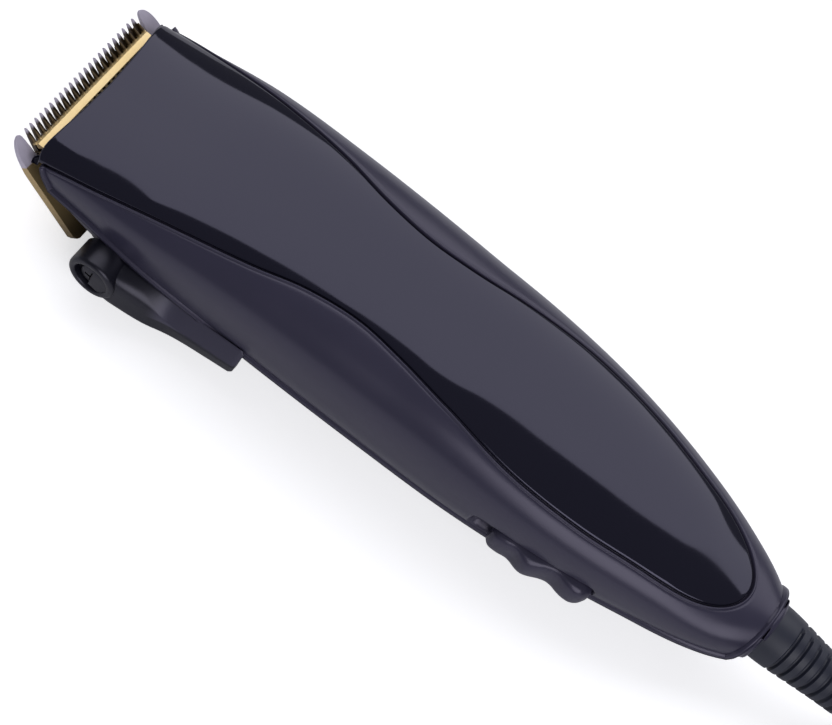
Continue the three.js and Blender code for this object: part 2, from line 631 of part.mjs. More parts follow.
// The last turn climbs out of the coil's inside and runs on to the plug, which lies on top.
const plugHalfHeight = 6.45;
const plugZ = ringHigh + touch + plugHalfHeight;
const innerTurn = coilMeanRadius - cordDiameter;
const topLayer = cordRadius + (coilTurnsHigh - 1) * cordDiameter + 0.1;
const ease = (t) => t * t * (3 - 2 * t);
function climbAt(degrees) {
  const radius = innerTurn - (innerTurn - plugAside) * ease((20 - degrees) / 110);
  const angle = THREE.MathUtils.degToRad(degrees);
  return [coilCentre.x + radius * Math.cos(angle), coilCentre.y + radius * Math.sin(angle),
    topLayer + (plugZ - topLayer) * ease(Math.min((60 - degrees) / 125, 1))];
}
const tailPoints = [-16, -30, -44, -58, -71, -83].map(climbAt);
add(group, 'cord_tail', tube(tailPoints, cordRadius, 10, 10), 'rubber');

// strap tie around the coil
function tie() {
  const reach = coilCentre.x - coilMeanRadius;
  const [w, h] = [ringHalf + touch + 0.4, ringHigh + touch];
  const band = solid(block([reach - w - 1.2, reach + w + 1.2], [-4, 4], [0, h + 1.2]));
  const hole = solid(block([reach - w, reach + w], [-6, 6], [-5, h]));
  return geometryOf(cut(band, hole)).translate(0, coilCentre.y, 0);
}
add(group, 'cord_tie', tie(), 'dark');

// flat two-pin plug lying on the coil; its outline starts at the cord
function plug() {
  const half = [[0, 4.5], [-6, 5.2], [-15, 9], [-27, 9.6], [1 - plugLength, 8.2], [-plugLength, 7]];
  const outline = [...half.map(([x, y]) => [x, -y]), ...half.reverse()];
  return slabUp(outline, plugZ - plugHalfHeight, plugZ + plugHalfHeight);
}
const plugRear = coilCentre.x + 2;
const plugY = coilCentre.y - plugAside;
add(group, 'plug_body', plug().translate(plugRear, plugY, 0), 'rubber');
[-1, 1].forEach((side, i) => {
  const to = plugRear - plugLength - touch;
  const place = [plugY + (side * pinSpacing) / 2, plugZ];
  add(group, `plug_pin_${i + 1}`, bar('x', pinRadius, to - pinLength + touch, to, place, 16), 'brass');
});

export default group;
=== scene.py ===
import math
import bmesh
import bpy
from mathutils import Matrix, Vector


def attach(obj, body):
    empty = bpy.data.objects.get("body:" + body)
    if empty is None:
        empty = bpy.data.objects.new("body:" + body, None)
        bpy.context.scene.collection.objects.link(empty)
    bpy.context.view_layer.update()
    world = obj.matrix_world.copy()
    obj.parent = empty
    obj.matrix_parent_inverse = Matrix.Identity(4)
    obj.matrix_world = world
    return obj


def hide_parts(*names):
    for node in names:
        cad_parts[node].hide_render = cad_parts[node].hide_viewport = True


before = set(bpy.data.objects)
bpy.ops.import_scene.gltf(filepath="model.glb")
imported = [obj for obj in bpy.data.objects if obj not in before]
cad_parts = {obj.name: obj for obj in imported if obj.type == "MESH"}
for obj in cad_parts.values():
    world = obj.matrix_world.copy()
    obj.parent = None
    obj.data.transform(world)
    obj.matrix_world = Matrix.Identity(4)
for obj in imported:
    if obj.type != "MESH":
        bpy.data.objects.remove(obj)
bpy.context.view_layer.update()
print("frame loaded")

mm = 0.001

# The clipper lies nose down on its flat underside. Its own frame is in millimetres, with X from the
# blade tips to the cord, the taper lever on the -Y side, and Z = 0 on the strain relief's axis.
posture = {"slope": 0.0492, "axisHeight": 20.6, "bladeTip": (-98.3, 0, -2.6), "bladeTilt": 37.0}

bodyToRow = (Matrix.Translation((0, 0, posture["axisHeight"] * mm))
             @ Matrix.Rotation(math.atan(posture["slope"]), 4, "Y") @ Matrix.Scale(mm, 4))
bladeToRow = (bodyToRow @ Matrix.Translation(posture["bladeTip"])
              @ Matrix.Rotation(math.radians(posture["bladeTilt"]), 4, "Y"))
rowInMm = Matrix.Scale(mm, 4)


# Cubic curve through stations (x, value), with the neighbours' mean slope at each
def smooth(*stations):
    xs = [s[0] for s in stations]
    values = [s[1] for s in stations]
    last = len(xs) - 1
    slopes = [(values[i + 1] - values[i]) / (xs[i + 1] - xs[i]) for i in range(last)]
    tangents = [slopes[0]] + [(slopes[i - 1] + slopes[i]) / 2 for i in range(1, last)] + [slopes[-1]]

    def at(x):
        x = min(max(x, xs[0]), xs[-1])
        i = 0
        while i < last - 1 and x > xs[i + 1]:
            i += 1
        step = xs[i + 1] - xs[i]
        t = (x - xs[i]) / step
        bend = ((1 - t) * tangents[i] - t * tangents[i + 1]) * step * t * (1 - t)
        return values[i] + (values[i + 1] - values[i]) * t * t * (3 - 2 * t) + bend
    return at


def ease(t):
    t = min(max(t, 0.0), 1.0)
    return t * t * (3 - 2 * t)


def blendOf(a, b, t):
    return a + (b - a) * t


# Shader helper
class Value:
    # a socket that takes part in ordinary arithmetic
    def __init__(self, finish, socket):
        self.finish, self.socket = finish, socket

    def maths(self, operation, *others):
        sockets = dict(enumerate((self, *others)))
        return self.finish.node("ShaderNodeMath", {"operation": operation}, sockets)

    def __add__(self, other):
        return self.maths("ADD", other)

    def __mul__(self, other):
        return self.maths("MULTIPLY", other)

    def __sub__(self, other):
        return self.maths("SUBTRACT", other)

    def __rsub__(self, other):
        return self.finish.node("ShaderNodeMath", {"operation": "SUBTRACT"}, {0: other, 1: self})

    def absolute(self):
        return self.maths("ABSOLUTE")


class Finish:
    def __init__(self, name):
        self.material = bpy.data.materials.new(name)
        self.material.use_nodes = True
        self.tree = self.material.node_tree
        self.tree.nodes.clear()

    def node(self, kind, settings=None, sockets=None, output=0):
        made = self.tree.nodes.new(kind)
        for key, value in (settings or {}).items():
            setattr(made, key, value)
        for key, value in (sockets or {}).items():
            if isinstance(value, Value):
                self.tree.links.new(value.socket, made.inputs[key])
            else:
                made.inputs[key].default_value = value
        return Value(self, made.outputs[output]) if len(made.outputs) else None

    def place(self):
        return self.node("ShaderNodeTexCoord", output="Object")

    def along(self, direction, origin=(0, 0, 0)):
        offset = self.node("ShaderNodeVectorMath", {"operation": "SUBTRACT"}, {0: self.place(), 1: origin})
        return self.node("ShaderNodeVectorMath", {"operation": "DOT_PRODUCT"}, {0: offset, 1: direction},
                         output="Value")

    def noise(self, scale, detail=2.0, roughness=0.5, stretch=(1, 1, 1)):
        vector = self.node("ShaderNodeVectorMath", {"operation": "MULTIPLY"}, {0: self.place(), 1: stretch})
        return self.node("ShaderNodeTexNoise", {"noise_dimensions": "3D"},
                         {"Vector": vector, "Scale": scale, "Detail": detail, "Roughness": roughness})

    def level(self, value, low, high):
        # a grey ramp from one number to another
        return self.node("ShaderNodeMapRange", {"clamp": True},
                         {"Value": value, "To Min": low, "To Max": high})

    def window(self, value, start, end):
        return self.node("ShaderNodeMapRange", {"interpolation_type": "SMOOTHSTEP"},
                         {"Value": value, "From Min": start, "From Max": end})

    def mix(self, factor, first, second):
        first, second = [(*c, 1) if isinstance(c, tuple) else c for c in (first, second)]
        return self.node("ShaderNodeMix", {"data_type": "RGBA"}, {0: factor, 6: first, 7: second}, output=2)

    def bump(self, height, distance, strength=1.0):
        return self.node("ShaderNodeBump", None,
                         {"Height": height, "Distance": distance, "Strength": strength})

    def surface(self, fixed, varying):
        shader = self.node("ShaderNodeBsdfPrincipled", None, {**fixed, **varying})
        self.node("ShaderNodeOutputMaterial", None, {"Surface": shader})
        return self.material


# Mesh helpers
def placed(name, data):
    obj = bpy.data.objects.new(name, data)
    bpy.context.scene.collection.objects.link(obj)
    return obj


def piece(name, mesh, matrix, finishes, body, stands=(), sharp=32):
    # a bmesh or (points, faces) in a millimetre frame becomes a named object that rides on a body
    if isinstance(mesh, tuple):
        points, faces = mesh
        mesh = bmesh.new()
        corners = [mesh.verts.new(p) for p in points]
        for face in faces:
            if len(set(face)) > 2:
                mesh.faces.new([corners[i] for i in dict.fromkeys(face)])
    bmesh.ops.remove_doubles(mesh, verts=mesh.verts, dist=0.004)
    bmesh.ops.dissolve_degenerate(mesh, edges=mesh.edges, dist=0.003)
    bmesh.ops.transform(mesh, matrix=matrix, verts=mesh.verts)
    bmesh.ops.recalc_face_normals(mesh, faces=mesh.faces)
    data = bpy.data.meshes.new(name)
    mesh.to_mesh(data)
    mesh.free()
    data.shade_smooth()
    data.set_sharp_from_angle(angle=math.radians(sharp))
    obj = placed(name, data)
    for finish in finishes:
        data.materials.append(finish)
    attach(obj, body)
    if stands:
        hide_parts(*stands)
    return obj


# Rows of points, all of one length, as quads; closed joins each row's ends
def skinOf(rows, closed=False, capped=False):
    count = len(rows[0])
    points = [p for row in rows for p in row]
    faces = []
    for i in range(len(rows) - 1):
        for j in range(count if closed else count - 1):
            a, b = i * count + j, i * count + (j + 1) % count
            faces.append((a, b, b + count, a + count))
    if capped:
        faces.append(tuple(range(count)))
        faces.append(tuple(len(points) - count + j for j in range(count)))
    return points, faces


def merged(*meshes):
    points, faces = [], []
    for somePoints, someFaces in meshes:
        start = len(points)
        points += somePoints
        faces += [tuple(i + start for i in face) for face in someFaces]
    return points, faces


# Points evenly spaced by the distance between place(*point)
def evenly(points, count, place):
    spots = [place(*p) for p in points]
    run = [0.0]
    for a, b in zip(spots, spots[1:]):
        run.append(run[-1] + (b - a).length)
    out, j = [], 0
    for i in range(count):
        target = run[-1] * i / (count - 1)
        while j < len(run) - 2 and run[j + 1] < target:
            j += 1
        t = min(max((target - run[j]) / max(run[j + 1] - run[j], 1e-9), 0), 1)
        out.append(tuple(blendOf(a, b, t) for a, b in zip(points[j], points[j + 1])))
    return out


# Body turned about an axis; profile is (radius, height) and axis gives the frame
def turned(profile, axis, segments=48):
    rows = []
    for radius, height in profile:
        rows.append([axis @ Vector((radius * math.cos(a), radius * math.sin(a), height))
                     for a in (2 * math.pi * k / segments for k in range(segments))])
    return skinOf(rows, closed=True)


def axisAt(centre, direction):
    return Matrix.Translation(centre) @ Vector(direction).to_track_quat("Z", "Y").to_matrix().to_4x4()


def rounded(corners, radii, steps=4):
    # closed outline with its corners rounded
    out, count = [], len(corners)
    for i, corner in enumerate(corners):
        before, after = Vector(corners[i - 1]), Vector(corners[(i + 1) % count])
        corner = Vector(corner)
        inward, onward = (before - corner), (after - corner)
        reach = min(radii[i], inward.length * 0.45, onward.length * 0.45)
        start, end = corner + inward.normalized() * reach, corner + onward.normalized() * reach
        for k in range(steps + 1):
            t = k / steps
            out.append(start * (1 - t) ** 2 + corner * 2 * t * (1 - t) + end * t * t)
    return out


def modify(obj, kind, **settings):
    modifier = obj.modifiers.new(kind.title(), kind)
    for key, value in settings.items():
        setattr(modifier, key, value)
    return modifier


def carve(obj, points, faces):
    # cuts a solid out of obj and keeps the result as its mesh
    data = bpy.data.meshes.new("cutter")
    shape = bmesh.new()
    corners = [shape.verts.new(p) for p in points]
    for face in faces:
        shape.faces.new([corners[i] for i in face])
    bmesh.ops.recalc_face_normals(shape, faces=shape.faces)
    shape.to_mesh(data)
    shape.free()
    solid = placed("cutter", data)
    modify(obj, "BOOLEAN", object=solid, operation="DIFFERENCE", solver="EXACT")
    bpy.context.view_layer.update()
    result = bpy.data.meshes.new_from_object(obj.evaluated_get(bpy.context.evaluated_depsgraph_get()))
    obj.modifiers.clear()
    old, obj.data = obj.data, result
    bpy.data.meshes.remove(old)
    bpy.data.objects.remove(solid)


# Camera, floor and lights
cameraLook = {"place": (0, -291.0, 539.5), "right": (0.7727, 0.5604, 0.2980),
              "up": (-0.6347, 0.6822, 0.3628), "back": (0, -0.4695, 0.8829), "lens": 120.15}
turn = bodyToRow.to_3x3() * (1 / mm)
cameraAxes = [turn @ Vector(cameraLook[k]) for k in ("right", "up", "back")]
cameraData = bpy.data.cameras.new("camera")
cameraData.lens = cameraLook["lens"]
cameraData.sensor_width = 36
cameraData.clip_start = 0.01
camera = placed("camera", cameraData)
camera.matrix_world = Matrix.Translation(bodyToRow @ Vector(cameraLook["place"])) @ Matrix(
    [[axis[i] for axis in cameraAxes] for i in range(3)]).to_4x4()
bpy.context.scene.camera = camera
bpy.context.scene.view_settings.view_transform = "Standard"

studio = {"floorSize": 6.0, "floorDrop": 0.0002, "floorColour": (0.93, 0.93, 0.94),
          "floorCloud": (0.90, 0.90, 0.91), "worldColour": (0.62, 0.64, 0.70), "worldLevel": 0.26,
          "backdrop": 0.58}
lamps = {
    "overhead": {"place": (-0.16, 1.46, 1.30), "aim": (-0.16, 1.11, 0), "size": (3.4, 2.2), "roll": 27,
                 "watts": 34, "colour": (0.96, 0.96, 1.0)},
    "fill": {"place": (1.25, -1.45, 1.30), "aim": (0, 0, 0), "size": (1.8, 1.5), "roll": 0, "watts": 22.0,
             "colour": (0.96, 0.95, 1.0)},
}

finish = Finish("floorPaper")
grain = finish.noise(40, 3)
floorColour = finish.mix(finish.level(grain, 0.0, 0.02), studio["floorColour"], studio["floorCloud"])
seen = finish.node("ShaderNodeLightPath", output="Is Camera Ray")
glow = finish.mix(seen, (0, 0, 0), (studio["backdrop"],) * 3)
paper = finish.surface({"Roughness": 0.9, "Specular IOR Level": 0.1, "Emission Strength": 1.0},
                       {"Base Color": floorColour, "Emission Color": glow})
half = studio["floorSize"] / 2
floorData = bpy.data.meshes.new("floor")
floorData.from_pydata([(half * i, half * j, -studio["floorDrop"])
                       for i, j in ((-1, -1), (1, -1), (1, 1), (-1, 1))], [], [(0, 1, 2, 3)])
floorData.materials.append(paper)
floor = placed("floor", floorData)

world = bpy.data.worlds.new("studio")
world.use_nodes = True
background = world.node_tree.nodes["Background"]
background.inputs["Color"].default_value = (*studio["worldColour"], 1)
background.inputs["Strength"].default_value = studio["worldLevel"]
bpy.context.scene.world = world

for name, lamp in lamps.items():
    light = bpy.data.lights.new(name, "AREA")
    light.shape = "RECTANGLE"
    light.size, light.size_y = lamp["size"]
    light.energy = lamp["watts"]
    light.color = lamp["colour"]
    obj = placed(name, light)
    place = Vector(lamp["place"])
    aim = (place - Vector(lamp["aim"])).to_track_quat("Z", "Y").to_matrix().to_4x4()
    roll = Matrix.Rotation(math.radians(lamp["roll"]), 4, "Z")
    obj.matrix_world = Matrix.Translation(place) @ aim @ roll
print("camera, floor and lights set")


# Finishes
plainPlastic = {"strength": 1.0, "ior": 1.5, "tint": (1, 1, 1)}
plainMetal = {"cloud": 60, "stretch": (1, 1, 1)}


def mouldedPlastic(name, look):
    # base colour with faint clouding, a fine grain in the surface and slight change of gloss
    look = {**plainPlastic, **look}
    finish = Finish(name)
    cloud = finish.noise(look["cloud"], 3)
    grain = finish.noise(look["grain"], 2, 0.6)
    colour = finish.mix(cloud, look["colour"], look["shade"])
    gloss = finish.level(cloud, *look["gloss"])
    relief = finish.bump(grain, look["depth"] * mm, look["strength"])
    return finish.surface({"IOR": look["ior"], "Specular Tint": (*look["tint"], 1)},
                          {"Base Color": colour, "Roughness": gloss, "Normal": relief})


def machinedMetal(name, look):
    # metal with fine marks along one direction
    look = {**plainMetal, **look}
    finish = Finish(name)
    marks = finish.noise(look["marks"], 2, 0.6, look["stretch"])
    cloud = finish.noise(look["cloud"], 3)
    colour = finish.mix(cloud, look["colour"], look["shade"])
    gloss = finish.level(marks, *look["gloss"])
    relief = finish.bump(marks, look["depth"] * mm)
    return finish.surface({"Metallic": 1.0},
                          {"Base Color": colour, "Roughness": gloss, "Normal": relief})


coverGloss = mouldedPlastic("coverGloss", {
    "colour": (0.0050, 0.0048, 0.0105), "shade": (0.0070, 0.0064, 0.0125), "cloud": 30, "grain": 90,
    "gloss": (0.05, 0.09), "depth": 0.01, "strength": 0.25, "ior": 1.57, "tint": (0.77, 0.75, 1.0)})
shellSatin = mouldedPlastic("shellSatin", {
    "colour": (0.031, 0.029, 0.051), "shade": (0.037, 0.034, 0.059), "cloud": 60, "grain": 2600,
    "gloss": (0.26, 0.32), "depth": 0.012, "strength": 0.35, "tint": (0.88, 0.84, 1.0)})
innerPlastic = mouldedPlastic("innerPlastic", {
    "colour": (0.012, 0.012, 0.014), "shade": (0.020, 0.020, 0.023), "cloud": 200, "grain": 2200,
    "gloss": (0.4, 0.5), "depth": 0.02})
nylonWhite = mouldedPlastic("nylonWhite", {
    "colour": (0.62, 0.59, 0.52), "shade": (0.70, 0.67, 0.60), "cloud": 120, "grain": 1800,
    "gloss": (0.38, 0.5), "depth": 0.02})
bootRubber = mouldedPlastic("bootRubber", {
    "colour": (0.0125, 0.0150, 0.0290), "shade": (0.0180, 0.0205, 0.0370), "cloud": 140, "grain": 2400,
    "gloss": (0.42, 0.55), "depth": 0.02, "strength": 0.5})
cordRubber = mouldedPlastic("cordRubber", {
    "colour": (0.0100, 0.0105, 0.0160), "shade": (0.0150, 0.0150, 0.0220), "cloud": 90, "grain": 1500,
    "gloss": (0.38, 0.5), "depth": 0.02})
wireJacket = mouldedPlastic("wireJacket", {
    "colour": (0.030, 0.050, 0.16), "shade": (0.045, 0.070, 0.20), "cloud": 200, "grain": 2000,
    "gloss": (0.35, 0.45), "depth": 0.01})
screwSteel = machinedMetal("screwSteel", {
    "colour": (0.20, 0.20, 0.22), "shade": (0.28, 0.28, 0.30), "marks": 1800, "gloss": (0.28, 0.42),
    "depth": 0.006})
leverScrewSteel = machinedMetal("leverScrewSteel", {
    "colour": (0.040, 0.040, 0.050), "shade": (0.065, 0.063, 0.075), "marks": 1800,
    "gloss": (0.32, 0.45), "depth": 0.006})
coreIron = machinedMetal("coreIron", {
    "colour": (0.16, 0.15, 0.15), "shade": (0.24, 0.22, 0.21), "marks": 900, "gloss": (0.4, 0.55),
    "depth": 0.02, "stretch": (0.05, 0.05, 3)})
coilCopper = machinedMetal("coilCopper", {
    "colour": (0.50, 0.17, 0.06), "shade": (0.62, 0.24, 0.09), "marks": 1100, "gloss": (0.3, 0.4),
    "depth": 0.05, "stretch": (0.05, 3, 0.05)})
pinNickel = machinedMetal("pinNickel", {
    "colour": (0.62, 0.60, 0.56), "shade": (0.70, 0.68, 0.64), "marks": 1500, "gloss": (0.18, 0.28),
    "depth": 0.004, "stretch": (0.1, 1, 1)})
print("finishes made")


# Mains cord. It leaves the strain relief, lies down and is put away in a coil; its points are in metres.
cordFacts = {"diameter": 5.8, "coilCentre": (186.0, -28.6), "meanRadius": 31.0, "floorGap": 0.1,
             "exit": (0.1415, 0.0068, 0.0049), "perTurn": 20, "plugAside": 21.9, "plugHeight": 24.15,
             "free": [(0.14198, 0.00696, 0.00477), (0.1455, 0.0079, 0.00415), (0.1490, 0.0085, 0.0038),
                      (0.152, 0.0087, 0.0036), (0.1552, 0.0087, 0.0032), (0.158, 0.0085, 0.0030),
                      (0.1649, 0.0082, 0.0030), (0.1725, 0.0082, 0.0030), (0.180, 0.0082, 0.0030)]}


def coilPath():
    # each cell is (how far out, how high) in diameters from the mean turn of the bottom layer
    cells = [(1, 0), (0, 0), (-1, 0), (-1, 1), (0, 1), (1, 1), (1, 2), (0, 2), (-1, 2)]
    d = cordFacts["diameter"]
    cx, cy = cordFacts["coilCentre"]
    base = d / 2 + cordFacts["floorGap"]
    swap, early = 40.0, 14.0  # degrees that a change of cell takes, and how much sooner the next one is
    changes = [360 * (k + 1) - early * k - swap for k in range(len(cells) - 1)]
    top = base + 2 * d
    end = 360 * (len(cells) - 1) + 172
    points, swept = [], 0.0
    while swept < end:
        out, high = cells[0]
        for k, start in enumerate(changes):
            share = ease((swept - start) / swap)
            out += (cells[k + 1][0] - cells[k][0]) * share
            high += (cells[k + 1][1] - cells[k][1]) * share
        radius, height = cordFacts["meanRadius"] + out * d, base + high * d
        left = swept - 360 * (len(cells) - 1)  # degrees since the climb to the plug began
        if left > 0:
            radius -= (radius - cordFacts["plugAside"]) * ease((left - 70) / 110)
            height = top + (cordFacts["plugHeight"] - top) * ease((left - 30) / 125)
        turnAt = math.radians(90 - swept)
        points.append(((cx + radius * math.cos(turnAt)) * mm, (cy + radius * math.sin(turnAt)) * mm,
                       height * mm))
        swept += 360 / cordFacts["perTurn"]
    return points


plugEnd = (0.1882, (cordFacts["coilCentre"][1] - cordFacts["plugAside"]) * mm, cordFacts["plugHeight"] * mm)
cordRoute = cordFacts["free"] + coilPath() + [plugEnd]
cordCurve = bpy.data.curves.new("mains_cord", "CURVE")
cordCurve.dimensions = "3D"
cordCurve.bevel_depth = cordFacts["diameter"] / 2 * mm
cordCurve.bevel_resolution = 6
cordCurve.resolution_u = 4
cordCurve.use_fill_caps = True
spline = cordCurve.splines.new("BEZIER")
spline.bezier_points.add(len(cordRoute) - 1)
for point, place in zip(spline.bezier_points, cordRoute):
    point.co = place
    point.handle_left_type = point.handle_right_type = "AUTO"
mainsCord = placed("mains_cord", cordCurve)
cordCurve.materials.append(cordRubber)
routeLength = sum((Vector(a) - Vector(b)).length for a, b in zip(cordRoute, cordRoute[1:]))
print("cord route", round(routeLength, 3))


# Strap tie round the coil: a flat band with round corners and an overlapping end
def strapTie():
    reach = cordFacts["coilCentre"][0] - cordFacts["meanRadius"]
    aside, w, h, thick = cordFacts["coilCentre"][1], 9.3, 17.9, 1.0
    corners = [(reach - w, 0.02), (reach + w, 0.02), (reach + w, h), (reach - w, h)]
    inside = rounded([(x, 0, z) for x, z in corners], [2.5] * 4, 5)
    outside = rounded([(x + thick * (1 if x > reach else -1), 0, z + (thick if z > 5 else -0.02))
                       for x, z in corners], [3.4] * 4, 5)
    rows = []
    for inner, outer in zip(inside + inside[:1], outside + outside[:1]):
        middle = (inner + outer) / 2
        ring = []
        for y, share in ((-4, 0.25), (-3.7, 1), (-1.2, 1), (1.2, 1), (3.7, 1), (4, 0.25)):
            ring.append(middle + (outer - middle) * share + Vector((0, y + aside, 0)))
        for y, share in ((4, 0.25), (3.7, 1), (-3.7, 1), (-4, 0.25)):
            ring.append(middle + (inner - middle) * share + Vector((0, y + aside, 0)))
        rows.append(ring)
    flap = []
    for k in range(9):
        x = reach - 5 + k
        lift = 0.14 + 0.42 * ease(k / 7) * ease((8.4 - k) / 2)
        flap.append([Vector((x, aside + y, h + thick + z)) for y, z in
                     ((-3.6, -0.05), (-3.5, lift), (3.5, lift), (3.6, -0.05))])
    return merged(skinOf(rows, closed=True), skinOf(flap, closed=True, capped=True))


# Plug lying on its flat side; half-width and half-height change along it
plugLook = {"rear": 188.0, "y": -50.5, "z": 24.15, "power": 3.2, "length": 36, "pinTip": 55.0,
            "pinSpread": 6.7}
plugWide = smooth((0, 4.1), (6, 4.9), (12, 7.0), (19, 9.2), (27, 9.45), (34, 8.6), (36, 7.6))
plugHigh = smooth((0, 3.9), (6, 4.3), (12, 5.3), (19, 6.2), (27, 6.35), (34, 6.1), (36, 5.6))


def plugBody():
    rows = []
    for k in range(73):
        along = plugLook["length"] * k / 72
        shrink = 1.0
        for edge, radius in ((plugLook["length"], 1.6), (0, 0.8)):
            gap = abs(along - edge)
            if gap < radius:
                shrink = 1 - 0.25 * (1 - math.sqrt(1 - (1 - gap / radius) ** 2))
        groove = 0.45 * math.exp(-((along % 2.2 - 1.1) / 0.38) ** 2) if 1 < along < 11 else 0
        ring = []
        for j in range(48):
            c, s = math.cos(j * math.pi / 24), math.sin(j * math.pi / 24)
            n = plugLook["power"] if along > 13 else 2.3
            size = (abs(c) ** n + abs(s) ** n) ** (-1 / n)
            ring.append(Vector((plugLook["rear"] - along,
                                plugLook["y"] + size * c * (plugWide(along) * shrink - groove),
                                plugLook["z"] + size * s * (plugHigh(along) * shrink - groove))))
        rows.append(ring)
    return skinOf(rows, closed=True, capped=True)


tie = piece("coil_strap", strapTie(), rowInMm, [innerPlastic], "housing", ["cord_tie"])
plug = piece("plug_housing", plugBody(), rowInMm, [cordRubber], "housing", ["plug_body"])
for k, side in enumerate((-1, 1)):
    axis = axisAt((plugLook["rear"] - plugLook["pinTip"] + 0.05,
                   plugLook["y"] + side * plugLook["pinSpread"], plugLook["z"]), (1, 0, 0))
    pin = turned([(0.01, 0), (0.9, 0.08), (1.5, 0.45), (1.9, 1.1), (1.98, 1.8), (1.98, 18.9),
                  (0.01, 18.9)], axis, 32)
    piece(f"plug_prong_{k + 1}", pin, rowInMm, [pinNickel], "housing",
                      [f"plug_pin_{k + 1}"])
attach(mainsCord, "housing")
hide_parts("power_cord", "cord_coil", "cord_tail")
print("cord, tie and plug made")


# Housing. Its outline along its length is half-width, crown, height of the widest line and belly.
def restAt(x):
    return posture["slope"] * x - posture["axisHeight"]


tailX, chinX, earX = 97.0, -73.0, -86.0
seamEnd = (93.4, -1.6)
shellThick = 1.2
halfWidth = smooth((-92, 23.8), (-80, 24.9), (-64, 26.1), (-40, 25.9), (0, 25.5), (30, 24.7), (50, 22.5),
                   (70, 18.5), (84, 14.8), (91, 12.0), (95, 9.6), (97, 7.9))
crown = smooth((-92, 2.0), (-80, 5.4), (-60, 11.1), (-40, 14.6), (-20, 16.4), (0, 17.1), (14, 17.7),
               (30, 16.8), (50, 14.7), (70, 11.8), (86, 7.9), (92, 7.2), (97, 6.6))
widestAt = smooth((-92, -6.0), (-80, -4.3), (-60, -1.4), (-45, 0), (20, 0), (45, 1.2), (70, 1.4),
                  (86, 0.6), (97, -0.4))
belly = smooth((-92, restAt(-92) - 0.4), (0, restAt(0) - 0.4), (58, restAt(58) - 0.4), (72, -14.8),
               (84, -12.4), (92, -10.2), (97, -7.6))
upperPower = smooth((-92, 2.8), (70, 2.7), (97, 2.0))
lowerPower = smooth((-92, 2.6), (-30, 2.45), (0, 2.2), (30, 1.9), (60, 1.75), (80, 1.85), (97, 2.0))
coverPlan = smooth((-90.7, 23.6), (-75.6, 22.6), (-57.9, 20.7), (-40.6, 17.9), (-27.8, 14.8), (-15, 13.35),
                   (-3, 14.2), (10.6, 16.1), (30, 18.05), (49.3, 16.9), (66.7, 13.8), (88.3, 10.2))
seamHeight = smooth((-86, -7.7), (-73, -6.7), (-58, -7.6), (-40, -9.5), (0, -9.5), (40, -8.2), (66, -5.2),
                    (84, -2.6), seamEnd)
right = math.pi / 2


def reachAt(x, angle):
    return crown(x) - widestAt(x) if math.sin(angle) >= 0 else widestAt(x) - belly(x)


# Point of the outer surface; the angle goes from the crown (90 degrees) over +Y to the belly (-90)
def skin(x, angle):
    c, s = math.cos(angle), math.sin(angle)
    n = upperPower(x) if s >= 0 else lowerPower(x)
    size = (abs(c) ** n + abs(s) ** n) ** (-1 / n)
    z = widestAt(x) + reachAt(x, angle) * size * s
    return Vector((x, halfWidth(x) * size * c, max(z, restAt(x))))


def skinNormal(x, angle):
    step = 0.01
    across = skin(x, angle + step) - skin(x, angle - step)
    onward = skin(x + 0.2, angle) - skin(x - 0.2, angle)
    normal = across.cross(onward).normalized()
    return normal if normal.y * math.cos(angle) + normal.z * math.sin(angle) > 0 else -normal


def locate(p):
    # the place (x, angle) on the surface nearest to a point that lies close to it
    above = 1 if p.z >= widestAt(p.x) else -1
    return p.x, math.atan2((p.z - widestAt(p.x)) / reachAt(p.x, above), p.y / halfWidth(p.x))


def angleAtWidth(x, y):
    n = upperPower(x)
    w = min(y / halfWidth(x), 1)
    return math.atan2((1 - w ** n) ** (1 / n), w)


def angleAtHeight(x, z):
    below = z < widestAt(x)
    n = lowerPower(x) if below else upperPower(x)
    h = min(abs(z - widestAt(x)) / reachAt(x, -1 if below else 1), 1)
    angle = math.atan2(h, (1 - h ** n) ** (1 / n))
    return -angle if below else angle


# Edge of the glossy cover from its front corner to the middle of its round rear end
coverShape = {"front": -90.5, "rear": 88.3, "roundFrom": 60.0}


def coverEdge(fromX):
    start, end = coverShape["roundFrom"], coverShape["rear"]
    places = [(x, angleAtWidth(x, coverPlan(x)))
              for x in (blendOf(fromX, start, k / 240) for k in range(240))]
    for k in range(241):
        x = start + (end - start) * math.sqrt(math.sin(right * k / 240))
        places.append((x, angleAtWidth(x, coverPlan(x) * math.cos(right * k / 240))))
    return places


# Frames along an edge on the surface: point, outward along the surface, outward normal.
# The last place is on the middle line if mirrored is true.
def edgeFrames(places, mirrored, flip=1):
    spots = [skin(*p) for p in places]
    out = []
    for i, place in enumerate(places):
        before = spots[max(i - 1, 0)]
        if i + 1 < len(spots):
            after = spots[i + 1]
        else:
            after = Vector((before.x, -before.y, before.z)) if mirrored else spots[i]
        normal = skinNormal(*place)
        outward = normal.cross((after - before).normalized()) * flip
        out.append((spots[i], outward.normalized(), normal))
    return out


# Cover: from its middle line out to a rounded edge and down its skirt
coverEdgeLook = {"gap": 0.2, "round": 0.55, "skirt": 2.2, "thick": 1.6, "columns": 190, "across": 34}


